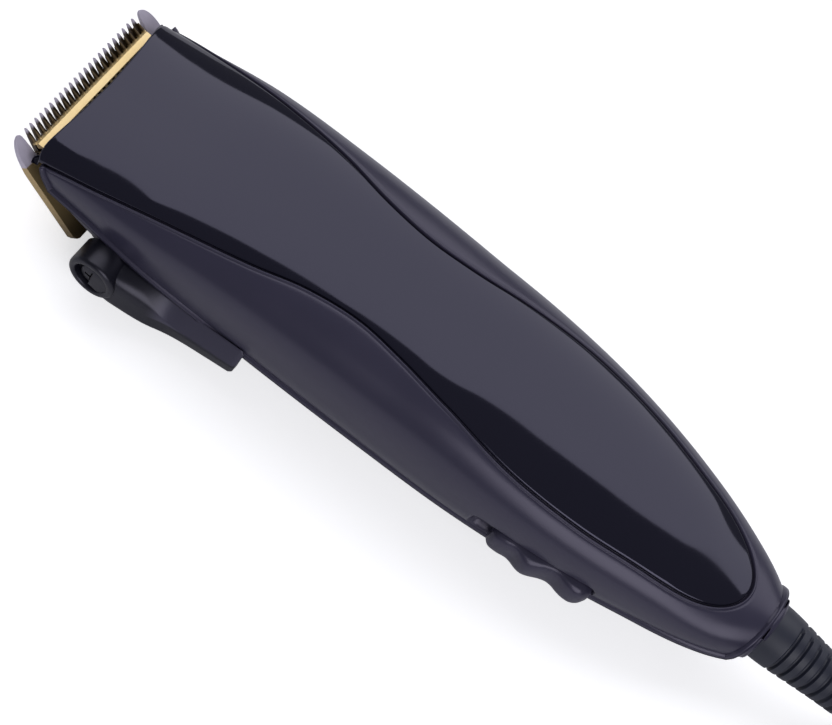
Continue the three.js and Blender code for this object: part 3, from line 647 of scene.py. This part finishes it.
def coverHalf():
    look = coverEdgeLook
    places = evenly(coverEdge(coverShape["front"]), look["columns"], skin)
    frames = edgeFrames(places, True)
    lead = smooth((0, 0), (10, -0.3), (17, -0.9), (20, -1.1), (22, -0.8), (24, 0.4))
    columns = []
    for (x, angle), (spot, outward, normal) in zip(places, frames):
        middleX = x if x < 60 else 60 + 18 * (1 - math.exp(-(x - 60) / 18))
        edge = locate(spot - outward * (look["gap"] + look["round"]))
        column = []
        for k in range(look["across"]):
            t = k / (look["across"] - 1)
            column.append(skin(blendOf(middleX, edge[0], t), blendOf(right, edge[1], t)))
        last, lastNormal = column[-1], skinNormal(*edge)
        for k in range(1, 6):
            a = right * k / 5
            column.append(last + outward * look["round"] * math.sin(a)
                          - lastNormal * look["round"] * (1 - math.cos(a)))
        for depth in (0.8, look["skirt"]):
            column.append(last + outward * look["round"] - lastNormal * depth)
        fade = max(0.0, 1 - (x - coverShape["front"]) / 9) ** 2
        columns.append([p + Vector((lead(abs(p.y)) * fade, 0, 0)) for p in column])
    front = []
    for k in range(5, 0, -1):
        a = right * k / 5
        front.append([p + Vector((-0.5 * math.sin(a), 0, -0.5 * (1 - math.cos(a)))) for p in columns[0]])
    down = [p + Vector((-0.5, 0, -1.9)) for p in columns[0]]
    return [down] + front + columns


def mirror(rows):
    return [[Vector((p.x, -p.y, p.z)) for p in row] for row in rows]


def bothSides(rows):
    return merged(skinOf(rows), skinOf(mirror(rows)))


cover = piece("gloss_cover", bothSides(coverHalf()), bodyToRow, [coverGloss], "housing", ["top_cover"],
              sharp=50)
modify(cover, "SOLIDIFY", thickness=coverEdgeLook["thick"] * mm, offset=-1)
print("cover made")

# Rounded bead along the groove (distance from the cover's edge, height), then the plain wall
beadProfile = [(0.20, -2.0), (0.20, -0.35), (0.23, -0.08), (0.31, 0.10), (0.44, 0.18), (0.57, 0.14),
               (0.68, 0.02), (0.79, -0.10), (0.92, -0.13), (1.08, -0.06), (1.35, 0.0)]
lipProfile = [(-0.42, 0.0), (-0.28, -0.03), (-0.19, -0.10), (-0.14, -0.24), (-0.13, -1.5)]
wallTip = (-90.4, -3.3)
slot = {"from": 30.4, "to": 61.8, "height": 9.0, "middle": -2.5, "depth": 2.4, "soft": 0.55}


def slotDepth(x, z):
    # how far the switch's recess is sunk at a place of the side wall
    middle = (slot["from"] + slot["to"]) / 2
    radius = 2.4
    dx = abs(x - middle) - ((slot["to"] - slot["from"]) / 2 - radius)
    dz = abs(z - slot["middle"]) - (slot["height"] / 2 - radius)
    away = math.hypot(max(dx, 0), max(dz, 0)) + min(max(dx, dz), 0) - radius
    return slot["depth"] * ease(-away / slot["soft"])


def lowerEdge(x):
    # height of the side wall's lower edge: the slanted mouth, then the parting line
    if x < earX:
        return blendOf(wallTip[1], seamHeight(earX), (x - wallTip[0]) / (earX - wallTip[0]))
    return seamHeight(x)


def ringX(z):
    return 94.4 + 0.3 * max(z, 0) if z > 0 else 94.4 + 0.625 * z


def seamRing():
    # parting line round the rear end, from the side up to the middle of the top
    places = []
    for k in range(41):
        angle = blendOf(angleAtHeight(*seamEnd), right, k / 40)
        x = 94.0
        for _ in range(6):
            x = ringX(skin(x, angle).z)
        places.append((x, angle))
    return places


def wallHalf(count, rows, withSlot):
    inner = evenly(coverEdge(wallTip[0]), count, skin)
    frames = edgeFrames(inner, True)
    turnsAt = next(i for i, p in enumerate(inner) if p[0] > 66)
    rear = [(x, angleAtHeight(x, seamHeight(x)))
            for x in (blendOf(66, seamEnd[0], k / 40) for k in range(40))]
    outer = [(x, angleAtHeight(x, lowerEdge(x))) for x, _ in inner[:turnsAt]]
    outer += evenly(rear + seamRing(), count - turnsAt, skin)
    seamFrames = edgeFrames(outer, True, -1)
    columns = []
    for i in range(count):
        spot, outward, normal = frames[i]
        seamSpot, down, seamNormal = seamFrames[i]
        scale = min(1.0, (spot - seamSpot).length / 3.2)
        column = [skin(*locate(spot + outward * e * scale)) + normal * h * scale for e, h in beadProfile]
        start = locate(spot + outward * beadProfile[-1][0] * scale)
        end = locate(seamSpot - down * -lipProfile[0][0] * scale)
        x = (start[0] + end[0]) / 2
        knots = [0, 1]
        if withSlot and 20 < x < 72:
            window = ease((x - 20) / 8) * ease((72 - x) / 8)
            zTop, zBottom = slot["middle"] + slot["height"] / 2, slot["middle"] - slot["height"] / 2
            span = end[1] - start[1]
            top = (angleAtHeight(x, zTop) - start[1]) / span
            bottom = min((angleAtHeight(x, zBottom) - start[1]) / span, 0.985)
            marks = [0, top - 0.015, top + 0.015, bottom - 0.015, min(bottom + 0.015, 0.992), 1]
            plain = [0, 0.40, 0.44, 0.80, 0.84, 1]
            knots = [blendOf(a, b, window) for a, b in zip(plain, marks)]
            counts = [0, 0.34, 0.44, 0.80, 0.90, 1]
        for k in range(1, rows):
            t = k / rows
            if len(knots) > 2:
                m = next(j for j in range(1, 6) if t <= counts[j] + 1e-9)
                t = blendOf(knots[m - 1], knots[m], (t - counts[m - 1]) / (counts[m] - counts[m - 1]))
            place = (blendOf(start[0], end[0], t), blendOf(start[1], end[1], t))
            p = skin(*place)
            if withSlot and 28 < p.x < 64:
                p = p - skinNormal(*place) * slotDepth(p.x, p.z)
            column.append(p)
        for e, h in lipProfile:
            column.append(skin(*locate(seamSpot + down * e * scale)) + seamNormal * h * scale)
        columns.append(column)
    return columns


nearWall, farWall = wallHalf(430, 50, True), wallHalf(430, 50, False)
nearWall[-1] = farWall[-1]
walls = piece("satin_shell_upper", merged(skinOf(mirror(nearWall)), skinOf(farWall)), bodyToRow,
              [shellSatin], "housing", ["upper_housing"], sharp=60)
modify(walls, "SOLIDIFY", thickness=shellThick * mm, offset=-1)
print("side walls made")


# Lower shell: from the parting line round the belly; its ears reach forward beside the comb blade
def lowerHalf():
    rows, split = 46, 14
    columns = []
    xs = [blendOf(earX, chinX, k / 16) for k in range(16)]
    xs += [blendOf(chinX, seamEnd[0], k / 150) for k in range(151)]
    seamFrames = edgeFrames([(x, angleAtHeight(x, seamHeight(x))) for x in xs], False)
    for x, (spot, outward, normal) in zip(xs, seamFrames):
        along = min((x - earX) / (chinX - earX), 1)
        frontZ = blendOf(-7.75, -11.9, ease(along) * 0.3 + along * 0.7)
        scale = min(1.0, max(x - earX, 0.01) / 4)
        lip = [skin(*locate(spot + outward * -e * scale)) + normal * h * scale for e, h in lipProfile[::-1]]
        start = locate(spot + outward * -lipProfile[0][0] * scale)
        corner = angleAtHeight(x, frontZ)
        relaxed = blendOf(start[1], -right, split / rows)
        turnTo = corner if x < chinX else blendOf(corner, relaxed, ease((x - chinX) / 30))
        column = lip
        for k in range(1, rows + 1):
            if k <= split:
                angle = blendOf(start[1], turnTo, k / split)
            else:
                angle = blendOf(turnTo, -right, (k - split) / (rows - split))
            column.append(skin(x, angle))
        columns.append(column)
    return columns, len(lipProfile) + split


def tailHalf(start):
    # band round the rear end, behind the parting line, and the end face round the cord's boot
    bands = []
    for p in start:
        bands.append((p[0], p[1], None))
    for x, angle in seamRing()[1:]:
        bands.append((x + 0.13, angle, True))
    rows = []
    for x, angle, onRing in bands:
        normal = skinNormal(x, angle)
        row = []
        if onRing:
            row += [skin(x, angle) - normal * 1.5, skin(x, angle) - normal * 0.2]
            row.append(skin(x + 0.08, angle) - normal * 0.04)
        else:
            row += [skin(x, angle)] * 3
        begin = x + 0.25 if onRing else x
        for k in range(9):
            row.append(skin(blendOf(begin, tailX - 0.7, k / 8), angle))
        edge = skin(tailX - 0.7, angle)
        middle = Vector((tailX, 0, 0))
        inward = (Vector((edge.x, 0, 0)) - edge).normalized()
        for k in range(1, 5):
            a = right * k / 4
            row.append(edge + Vector((0.7 * math.sin(a), 0, 0)) + inward * 0.7 * (1 - math.cos(a)))
        row.append(middle + (row[-1] - middle) * (4.7 / (row[-1] - middle).length))
        rows.append(row)
    return rows


lowerColumns, cornerRow = lowerHalf()
earCount = 17
ears = [column[:cornerRow] for column in lowerColumns[:earCount]]
main = lowerColumns[earCount - 1:]
chin = []
for depth, inward in ((0.0, 0.0), (0.45, 0.5), (0.45, 6.0)):
    chin.append([p + Vector((-depth, -min(inward, abs(p.y)), inward * 0.6 if p.z < -12 else 0))
                 for p in main[0][cornerRow - 1:]])
chin.append([Vector((chinX - 0.45, p.y, -11.5)) for p in chin[-1]])
lastPlaces = [(seamEnd[0], locate(p)[1]) for p in main[-1][len(lipProfile):]][::-1]
tailRows = tailHalf(lastPlaces + [(seamEnd[0], angleAtHeight(*seamEnd))])
lowerMesh = merged(bothSides(ears), bothSides(main), bothSides(chin), bothSides(tailRows))
lowerShell = piece("satin_shell_lower", lowerMesh, bodyToRow, [shellSatin], "housing", ["lower_housing"],
                   sharp=50)
modify(lowerShell, "SOLIDIFY", thickness=shellThick * mm, offset=-1)
print("lower shell made")


# Blades, in a frame with X down the plate from the comb's tips and Z away from it, in millimetres
bladeDown = (bladeToRow.to_3x3() @ Vector((1, 0, 0))).normalized()
bladeOff = (bladeToRow.to_3x3() @ Vector((0, 0, 1))).normalized()
bladeStart = bladeToRow @ Vector((0, 0, 0))

# dark is the colour of the painted shade on the comb
combLook = {"teeth": 23, "pitch": 1.74, "tooth": 6.5, "length": 28.5, "thickness": 2.3, "tips": 1.2,
            "guard": 6.9, "gloss": (0.30, 0.44), "steel": ((0.48, 0.44, 0.54), (0.58, 0.54, 0.64)),
            "brass": ((0.46, 0.33, 0.15), (0.56, 0.42, 0.21)), "dark": (0.055, 0.036, 0.020)}


def bladeFinish(name, look, ground):
    # plated brass with fine scratches; ground steel where the grinding took the plating off; painted shade
    # darkens parts of the brass
    finish = Finish(name)
    down = finish.along(bladeDown, bladeStart) * 1000
    across = finish.along((0, 1, 0)) * 1000
    height = finish.along(bladeOff, bladeStart) * 1000
    scratches = finish.noise(1400, 3, 0.6, (0.25, 1, 0.25))
    cloud = finish.noise(90, 3)
    brass = finish.mix(cloud, *look["brass"])
    metal = 0.62
    gloss = finish.level(scratches, *look["gloss"])
    relief = finish.bump(scratches, 0.006 * mm)
    if ground:
        steel = finish.mix(scratches, *look["steel"])
        outer = finish.window(across.absolute(), 20.4, 20.7)
        wobble = (finish.noise(160, 2) - 0.5) * 0.7
        onGuard = 1 - finish.window(down + wobble, look["guard"] - 0.15, look["guard"] + 0.15)
        onTip = 1 - finish.window(down + wobble, look["tips"] - 0.6, look["tips"] + 0.5)
        bright = outer * onGuard + (1 - outer) * onTip
        # painted shade: the teeth, over which the cutter lies, and the plate towards the housing are darkened
        # towards the dark colour
        shade = (1 - outer) * (1 - finish.window(down, 6.0, 8.0)) + finish.window(down, 17, 27) * 0.6
        base = finish.mix(shade, brass, look["dark"])
        colour = finish.mix(bright, base, steel)
        metal = 0.75 - bright * 0.5
    else:
        # painted shade: the floor between the ribs behind the bar is painted the dark colour
        back = finish.window(down, 5.45, 5.6) * (1 - finish.window(height, 1.9, 2.1))
        # painted shade: the teeth ahead of the bar are darkened almost to the dark colour
        front = 1 - finish.window(down, 3.4, 4.05)
        shade = finish.mix(front * 0.95, brass, look["dark"])
        # painted shade: everything behind the bar, the ribs too, is darkened about half way towards the dark
        # colour
        ribShade = finish.window(down, 5.45, 5.6) * 0.55
        colour = finish.mix(back + ribShade * (1 - back), shade, look["dark"])
    return finish.surface({"Specular IOR Level": 0.5},
                          {"Base Color": colour, "Metallic": metal, "Roughness": gloss, "Normal": relief})


def flatPiece(outline, low, high):
    # outline in the blade plane, raised from low to high
    mesh = bmesh.new()
    bottom = [mesh.verts.new((u, v, low)) for u, v in outline]
    top = [mesh.verts.new((u, v, high)) for u, v in outline]
    mesh.faces.new(top)
    mesh.faces.new(bottom[::-1])
    count = len(outline)
    for i in range(count):
        j = (i + 1) % count
        mesh.faces.new((bottom[i], bottom[j], top[j], top[i]))
    return mesh


def sliceOff(mesh, point, normal):
    geometry = mesh.verts[:] + mesh.edges[:] + mesh.faces[:]
    cutLine = bmesh.ops.bisect_plane(mesh, geom=geometry, plane_co=point, plane_no=normal, clear_outer=True,
                                     dist=1e-4)
    edges = [e for e in cutLine["geom_cut"] if isinstance(e, bmesh.types.BMEdge)]
    bmesh.ops.holes_fill(mesh, edges=edges, sides=0)


def combBlade():
    look = combLook
    guardLine = smooth((-0.1, 22.0), (0.25, 22.75), (1.0, 23.35), (2.4, 24.0), (4.5, 24.45), (7.5, 24.6))
    guard = [(look["length"], 23.2), (look["length"] - 0.4, 23.9), (look["length"] - 1.4, 24.45)]
    guard += [(u, guardLine(u)) for u in (7.5, 6, 4.8, 3.7, 2.8, 2.0, 1.4, 0.9, 0.5, 0.2, 0.0)]
    guard += [(-0.1, 22.0), (-0.05, 21.65), (0.2, 21.3), (0.8, 21.05), (2.0, 20.9), (4, 20.7),
              (look["tooth"], 20.6)]
    outline = [(u, -v) for u, v in guard]
    first = -((look["teeth"] - 1) / 2) * look["pitch"]
    for i in range(look["teeth"]):
        v = first + i * look["pitch"]
        profile = [(look["tooth"], 0.52), (4.4, 0.47), (2.4, 0.40), (1.0, 0.27), (0.3, 0.16), (0.0, 0.05)]
        outline += [(u, v - w) for u, w in profile] + [(u, v + w) for u, w in profile[::-1]]
    outline += guard[::-1]
    mesh = flatPiece(outline, -look["thickness"], 0)
    sliceOff(mesh, (-2, 0, -0.3), Vector((-2.0, 0, -11)).normalized())
    return mesh


comb = piece("comb_blade", combBlade(), bladeToRow, [bladeFinish("combMetal", combLook, True)], "carriage",
             ["fixed_blade"], sharp=25)

# dark is the colour of the painted shade on the cutter
cutterLook = {"teeth": 24, "pitch": 1.7, "half": 19.6, "brass": ((0.86, 0.63, 0.28), (0.95, 0.75, 0.42)),
              "dark": (0.075, 0.048, 0.022), "gloss": (0.34, 0.46)}


def prism(section, low, high):
    # outline (u, n) carried across from one v to another
    lowRow, highRow = [[Vector((u, v, n)) for u, n in section] for v in (low, high)]
    return skinOf([lowRow, highRow], closed=True, capped=True)


def cutterBlade():
    # bar with a level top face and a chamfer along its front, teeth ahead of it and ribs behind
    half = cutterLook["half"]
    bar = [(3.9, 0.5), (3.9, 1.1), (4.05, 1.50), (4.42, 1.86), (5.28, 2.49), (5.42, 2.47), (5.5, 2.3),
           (5.5, 0.5)]
    parts = [prism(bar, -half, half), prism([(5.3, 0.2), (5.3, 1.5), (12.6, 1.7), (12.6, 0.2)], -17.5, 17.5)]
    span = (cutterLook["teeth"] - 1) / 2 * cutterLook["pitch"]
    for i in range(cutterLook["teeth"]):
        v = i * cutterLook["pitch"] - span
        rows = []
        for u, top, wide in ((1.55, 0.34, 0.10), (1.75, 0.50, 0.22), (2.6, 0.72, 0.34), (3.5, 0.95, 0.42),
                             (4.2, 1.15, 0.46)):
            rows.append([Vector((u, v - wide, 0.14)), Vector((u, v - wide * 0.7, top * 0.8)),
                         Vector((u, v - wide * 0.25, top)), Vector((u, v + wide * 0.25, top)),
                         Vector((u, v + wide * 0.7, top * 0.8)), Vector((u, v + wide, 0.14))])
        parts.append(skinOf(rows, closed=True, capped=True))
        if abs(v) > 15.5:
            continue
        rib = [(5.4, 1.2), (5.4, 2.2), (7.2, 2.75), (7.8, 2.4), (8.0, 1.2)]
        parts.append(prism(rib, v - 0.36, v + 0.36))
    return merged(*parts)


cutter = piece("cutter_blade", cutterBlade(), bladeToRow, [bladeFinish("cutterBrass", cutterLook, False)],
               "cutter", ["moving_blade"], sharp=25)
for blade, width in ((comb, 0.09), (cutter, 0.07)):
    modify(blade, "BEVEL", width=width * mm, segments=2, limit_method="ANGLE", angle_limit=math.radians(35),
           harden_normals=True)
print("blades made")


# Taper lever. Its arm has four edges along its length: inner top, outer top, outer bottom, inner bottom.
# the rest colour is the painted light on the thumb rest
leverLook = {"knob": (-66.9, -33.0, -12.7), "radius": 6.1, "recess": 4.3, "depth": 2.2, "end": -30.3,
             "dark": ((0.0045, 0.0045, 0.008), (0.007, 0.007, 0.012)), "restPaintedLight": (0.050, 0.047, 0.072)}
innerTop = [smooth((-66.5, -25.6), (-30.3, -25.2)),
            smooth((-67, -8.0), (-60.5, -7.9), (-55, -8.9), (-50, -9.3), (-44, -8.7), (-30.3, -6.9))]
outerTop = [smooth((-67, -32.2), (-62, -31.8), (-57.5, -30.9), (-53, -29.8), (-49, -29.2), (-44, -28.85),
                   (-36, -28.5), (-30.3, -28.2)),
            smooth((-67, -8.4), (-62, -8.9), (-57.5, -9.9), (-53, -11.6), (-49, -13.2), (-44, -13.5),
                   (-38, -12.6), (-30.3, -11.3))]
outerBottom = [smooth((-67, -32.7), (-62, -32.7), (-57.5, -32.0), (-53, -31.0), (-48, -29.6), (-44, -28.9),
                      (-36, -28.4), (-30.3, -28.1)),
               smooth((-67, -17.3), (-62, -18.2), (-57.5, -18.5), (-53, -18.3), (-44, -17.2), (-36, -15.7),
                      (-30.3, -14.7))]
innerBottom = [smooth((-67, -25.8), (-30.3, -25.3)),
               smooth((-67, -17.6), (-62, -18.4), (-53, -18.4), (-44, -17.3), (-30.3, -14.8))]


def leverArm():
    rows = []
    reach = leverLook["end"] - leverLook["knob"][0]
    for k in range(61):
        x = leverLook["end"] - reach * (1 - k / 60)
        shrink = 0.0
        if leverLook["end"] - x < 0.5:
            shrink = 0.5 * (1 - math.sqrt(1 - (1 - (leverLook["end"] - x) / 0.5) ** 2))
        soft = ease((x + 60) / 11)  # the outer edges are broad by the knob and crisp by the thumb rest
        corners = [(edge[0](x), edge[1](x)) for edge in (innerTop, outerTop, outerBottom, innerBottom)]
        middle = Vector((sum(c[0] for c in corners) / 4, sum(c[1] for c in corners) / 4))
        radii = [0.8, blendOf(3.4, 0.55, soft), blendOf(2.6, 0.8, soft), 0.8]
        ring = rounded(corners, radii, 7)
        rows.append([Vector((x, p.x, p.y)) for p in
                     (middle + (q - middle) * (1 - shrink / 3) for q in ring)])
    end = [[row + Vector((0.02, 0, 0)) for row in rows[-1]]]
    middle = sum(end[0], Vector()) / len(end[0])
    end.append([middle + (p - middle) * 0.92 + Vector((0.12, 0, 0)) for p in end[0]])
    end.append([middle + (p - middle) * 0.5 + Vector((0.2, 0, 0)) for p in end[0]])
    return skinOf(rows + end, closed=True, capped=True)


def leverKnob():
    x, y, z = leverLook["knob"]
    axis = axisAt((x, -26, z), (0, -1, 0))
    out, r, inner = -26 - y, leverLook["radius"], leverLook["recess"]
    profile = [(0.01, 0), (r, 0), (r, out - 1.1)]
    profile += [(r - 1.0 * (1 - math.cos(a)), out - 1.1 + 1.0 * math.sin(a))
                for a in (right * k / 6 for k in range(1, 7))]
    pit = out - leverLook["depth"]
    profile += [(inner + 0.55, out - 0.1), (inner + 0.3, out - 0.16), (inner + 0.1, out - 0.32),
                (inner, out - 0.6), (inner - 0.15, pit), (0.01, pit)]
    return turned(profile, axis, 72)


def leverFinish():
    # near black satin, with the flat thumb rest painted lighter as painted light where it faces up towards
    # the lamps
    look = leverLook
    finish = Finish("leverSatin")
    origin = bodyToRow @ Vector((-44, 0, -13.5))
    length = finish.along((bodyToRow.to_3x3() @ Vector((1, 0, 0))).normalized(), origin) * 1000
    height = finish.along((bodyToRow.to_3x3() @ Vector((0, 0, 1))).normalized(), origin) * 1000
    cloud = finish.noise(120, 3)
    # painted light: the flat thumb rest, above a slanted line and near the arm's end, is coloured lighter
    above = finish.window(height - length * 0.16, 0.0, 0.5)
    restPaintedLight = above * finish.window(length, -9.5, -5.0)
    colour = finish.mix(restPaintedLight, finish.mix(cloud, *look["dark"]), look["restPaintedLight"])
    gloss = finish.level(cloud, 0.26, 0.36)
    relief = finish.bump(finish.noise(2600, 2, 0.6), 0.01 * mm, 0.3)
    return finish.surface({"Specular Tint": (0.86, 0.84, 1.0, 1)},
                          {"Base Color": colour, "Roughness": gloss, "Normal": relief})


piece("taper_lever_arm", merged(leverArm(), leverKnob()), bodyToRow, [leverFinish()], "lever",
      ["taper_lever"], sharp=38)


def leverScrewHead():
    x, y, z = leverLook["knob"]
    axis = axisAt((x, y + leverLook["depth"] - 0.02, z), (0, -1, 0))
    return turned([(0.01, -0.2), (3.3, -0.2), (3.3, 0.7), (3.15, 0.98), (2.7, 1.2), (1.8, 1.38), (0.9, 1.46),
                   (0.01, 1.48)], axis, 56)


leverScrew = piece("lever_cross_screw", leverScrewHead(), bodyToRow, [leverScrewSteel], "lever",
                   ["lever_screw"], sharp=38)


def crossSlots(size, wide, depth):
    # cutters for a cross recess in the lever's screw
    x, y, z = leverLook["knob"]
    face = y + leverLook["depth"] - 1.5
    slots = []
    for a, b in ((size, wide), (wide, size)):
        rows = [[bodyToRow @ Vector((x + a * grow * i, face + go, z + b * grow * j))
                 for i, j in ((-1, -1), (1, -1), (1, 1), (-1, 1))]
                for go, grow in ((-1, 1.25), (depth, 0.75))]
        slots.append(skinOf(rows, closed=True, capped=True))
    return slots


for recess in crossSlots(1.9, 0.36, 0.9):
    carve(leverScrew, *recess)
print("taper lever made")


# Switch, in a frame with X along the side wall and -Y out of it
switchLook = {"x": 46.1, "z": -2.5, "turn": 0.145, "front": -10.1, "rear": 15.3}
switchToRow = (bodyToRow @ Matrix.Translation((switchLook["x"], -halfWidth(switchLook["x"]), switchLook["z"]))
               @ Matrix.Rotation(switchLook["turn"], 4, "Z"))
sliderOut = smooth((-10.1, 0.3), (-9.4, 1.0), (-7.5, 1.35), (-4.6, 1.45), (-3.0, 1.9), (-1.4, 2.4),
                   (0.4, 2.5), (2.2, 2.2), (4.2, 1.45), (6.0, 1.05), (7.4, 1.25), (9.2, 2.0),
                   (11.0, 2.45), (12.8, 2.45), (14.3, 1.7), (15.3, 0.5))
sliderHalf = smooth((-10.1, 2.6), (-9.0, 3.5), (-7.0, 4.0), (-4, 4.1), (8, 4.1), (11.5, 4.1), (13.6, 3.6),
                    (15.3, 2.3))


def sliderBody():
    # domed front with a thumb ridge, a waist and an oval rear pad
    rows = []
    for k in range(129):
        x = blendOf(switchLook["front"], switchLook["rear"], k / 128)
        out, half = sliderOut(x), sliderHalf(x)
        ridge = math.exp(-((x - 0.2) / 1.7) ** 2)
        ring = []
        for j in range(33):
            t = -1 + j / 16
            bulge = (1 - abs(t) ** 3.0) ** 0.5 if abs(t) < 1 else 0
            dish = 0.55 * math.exp(-((x + 3.6) / 1.6) ** 2) * (1 - t * t)
            crest = ridge * 0.35 * (1 - t * t)
            height = -1.9 + (out + 1.9) * (0.35 + 0.65 * bulge) if abs(t) < 1 else -1.9
            ring.append(Vector((x, -(height - dish + crest), -t * half)))
        ring = [Vector((x, 1.9, half))] + ring[1:-1] + [Vector((x, 1.9, -half))]
        rows.append(ring)
    return skinOf(rows, closed=True, capped=True)


piece("switch_thumb_slider", sliderBody(), switchToRow, [shellSatin], "switch", ["switch_slider"],
      sharp=45)
print("switch made")


# Strain relief
bootLook = {"from": 96.9, "to": 142.0, "pitch": 2.6, "first": 102.6, "depth": 0.85, "width": 0.55,
            "spine": 62}
bootY = smooth((91.4, 0), (97, 0), (103, 0), (112, 0.5), (121, 1.7), (131, 3.8), (142, 6.8))
bootZ = smooth((91.4, 0), (97, 0), (103, -0.15), (112, -1.3), (121, -3.6), (131, -6.4), (142, -8.7))
bootRadius = smooth((96.9, 7.2), (99, 7.15), (101.5, 7.0), (104, 6.75), (109, 6.2), (115, 5.6), (121, 5.2),
                    (130, 4.7), (138, 4.2), (142, 3.7))


def bootSleeve():
    # ring grooves on two sides, half a pitch apart, with plain spines between them
    look, rows = bootLook, []
    for k in range(261):
        x = blendOf(look["from"], look["to"], k / 260)
        along = Vector((1, bootY(x + 0.5) - bootY(x - 0.5), bootZ(x + 0.5) - bootZ(x - 0.5))).normalized()
        across = Vector((0, 1, 0)) - along * along.y
        across.normalize()
        up = along.cross(across)
        centre = Vector((x, bootY(x), bootZ(x)))
        ring = []
        for j in range(96):
            angle = j * math.pi / 48
            spread = (math.degrees(angle) - look["spine"]) % 360
            side = 0 if spread < 180 else 0.5
            edge = min(spread % 180, 180 - spread % 180)
            phase = ((x - look["first"]) / look["pitch"] + side) % 1
            near = min(phase, 1 - phase) * look["pitch"]
            groove = ease((look["width"] - near) / 0.42) * ease((edge - 5) / 7)
            groove *= ease((x - look["first"] + 0.9) / 0.6) * ease((139.6 - x) / 0.6)
            radius = bootRadius(x) - look["depth"] * groove
            ring.append(centre + across * radius * math.cos(angle) + up * radius * math.sin(angle))
        rows.append(ring)
    return skinOf(rows, closed=True, capped=True)


piece("cord_boot", bootSleeve(), bodyToRow, [bootRubber], "housing", ["strain_relief"],
      sharp=50)
print("strain relief made")


# Finishes of the parts that show as they are
carried = {
    nylonWhite: ["blade_guide", "switch_body", "coil_bobbin", "drive_arm", "cord_clamp"],
    innerPlastic: ["adjusting_plate"],
    screwSteel: ["blade_screw_1", "blade_screw_2", "tension_spring", "housing_screw_1", "housing_screw_2",
                 "housing_screw_3", "lever_cam", "core_screw_1", "core_screw_2", "pivot_pin",
                 "return_spring_1", "return_spring_2", "clamp_screw_1", "clamp_screw_2"],
    coreIron: ["laminated_core", "armature"],
    coilCopper: ["coil_winding"],
    wireJacket: ["lead_wire_1", "lead_wire_2"],
}
for material, nodes in carried.items():
    for node in nodes:
        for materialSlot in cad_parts[node].material_slots:
            materialSlot.material = material
print("inner parts finished")

print("finished")
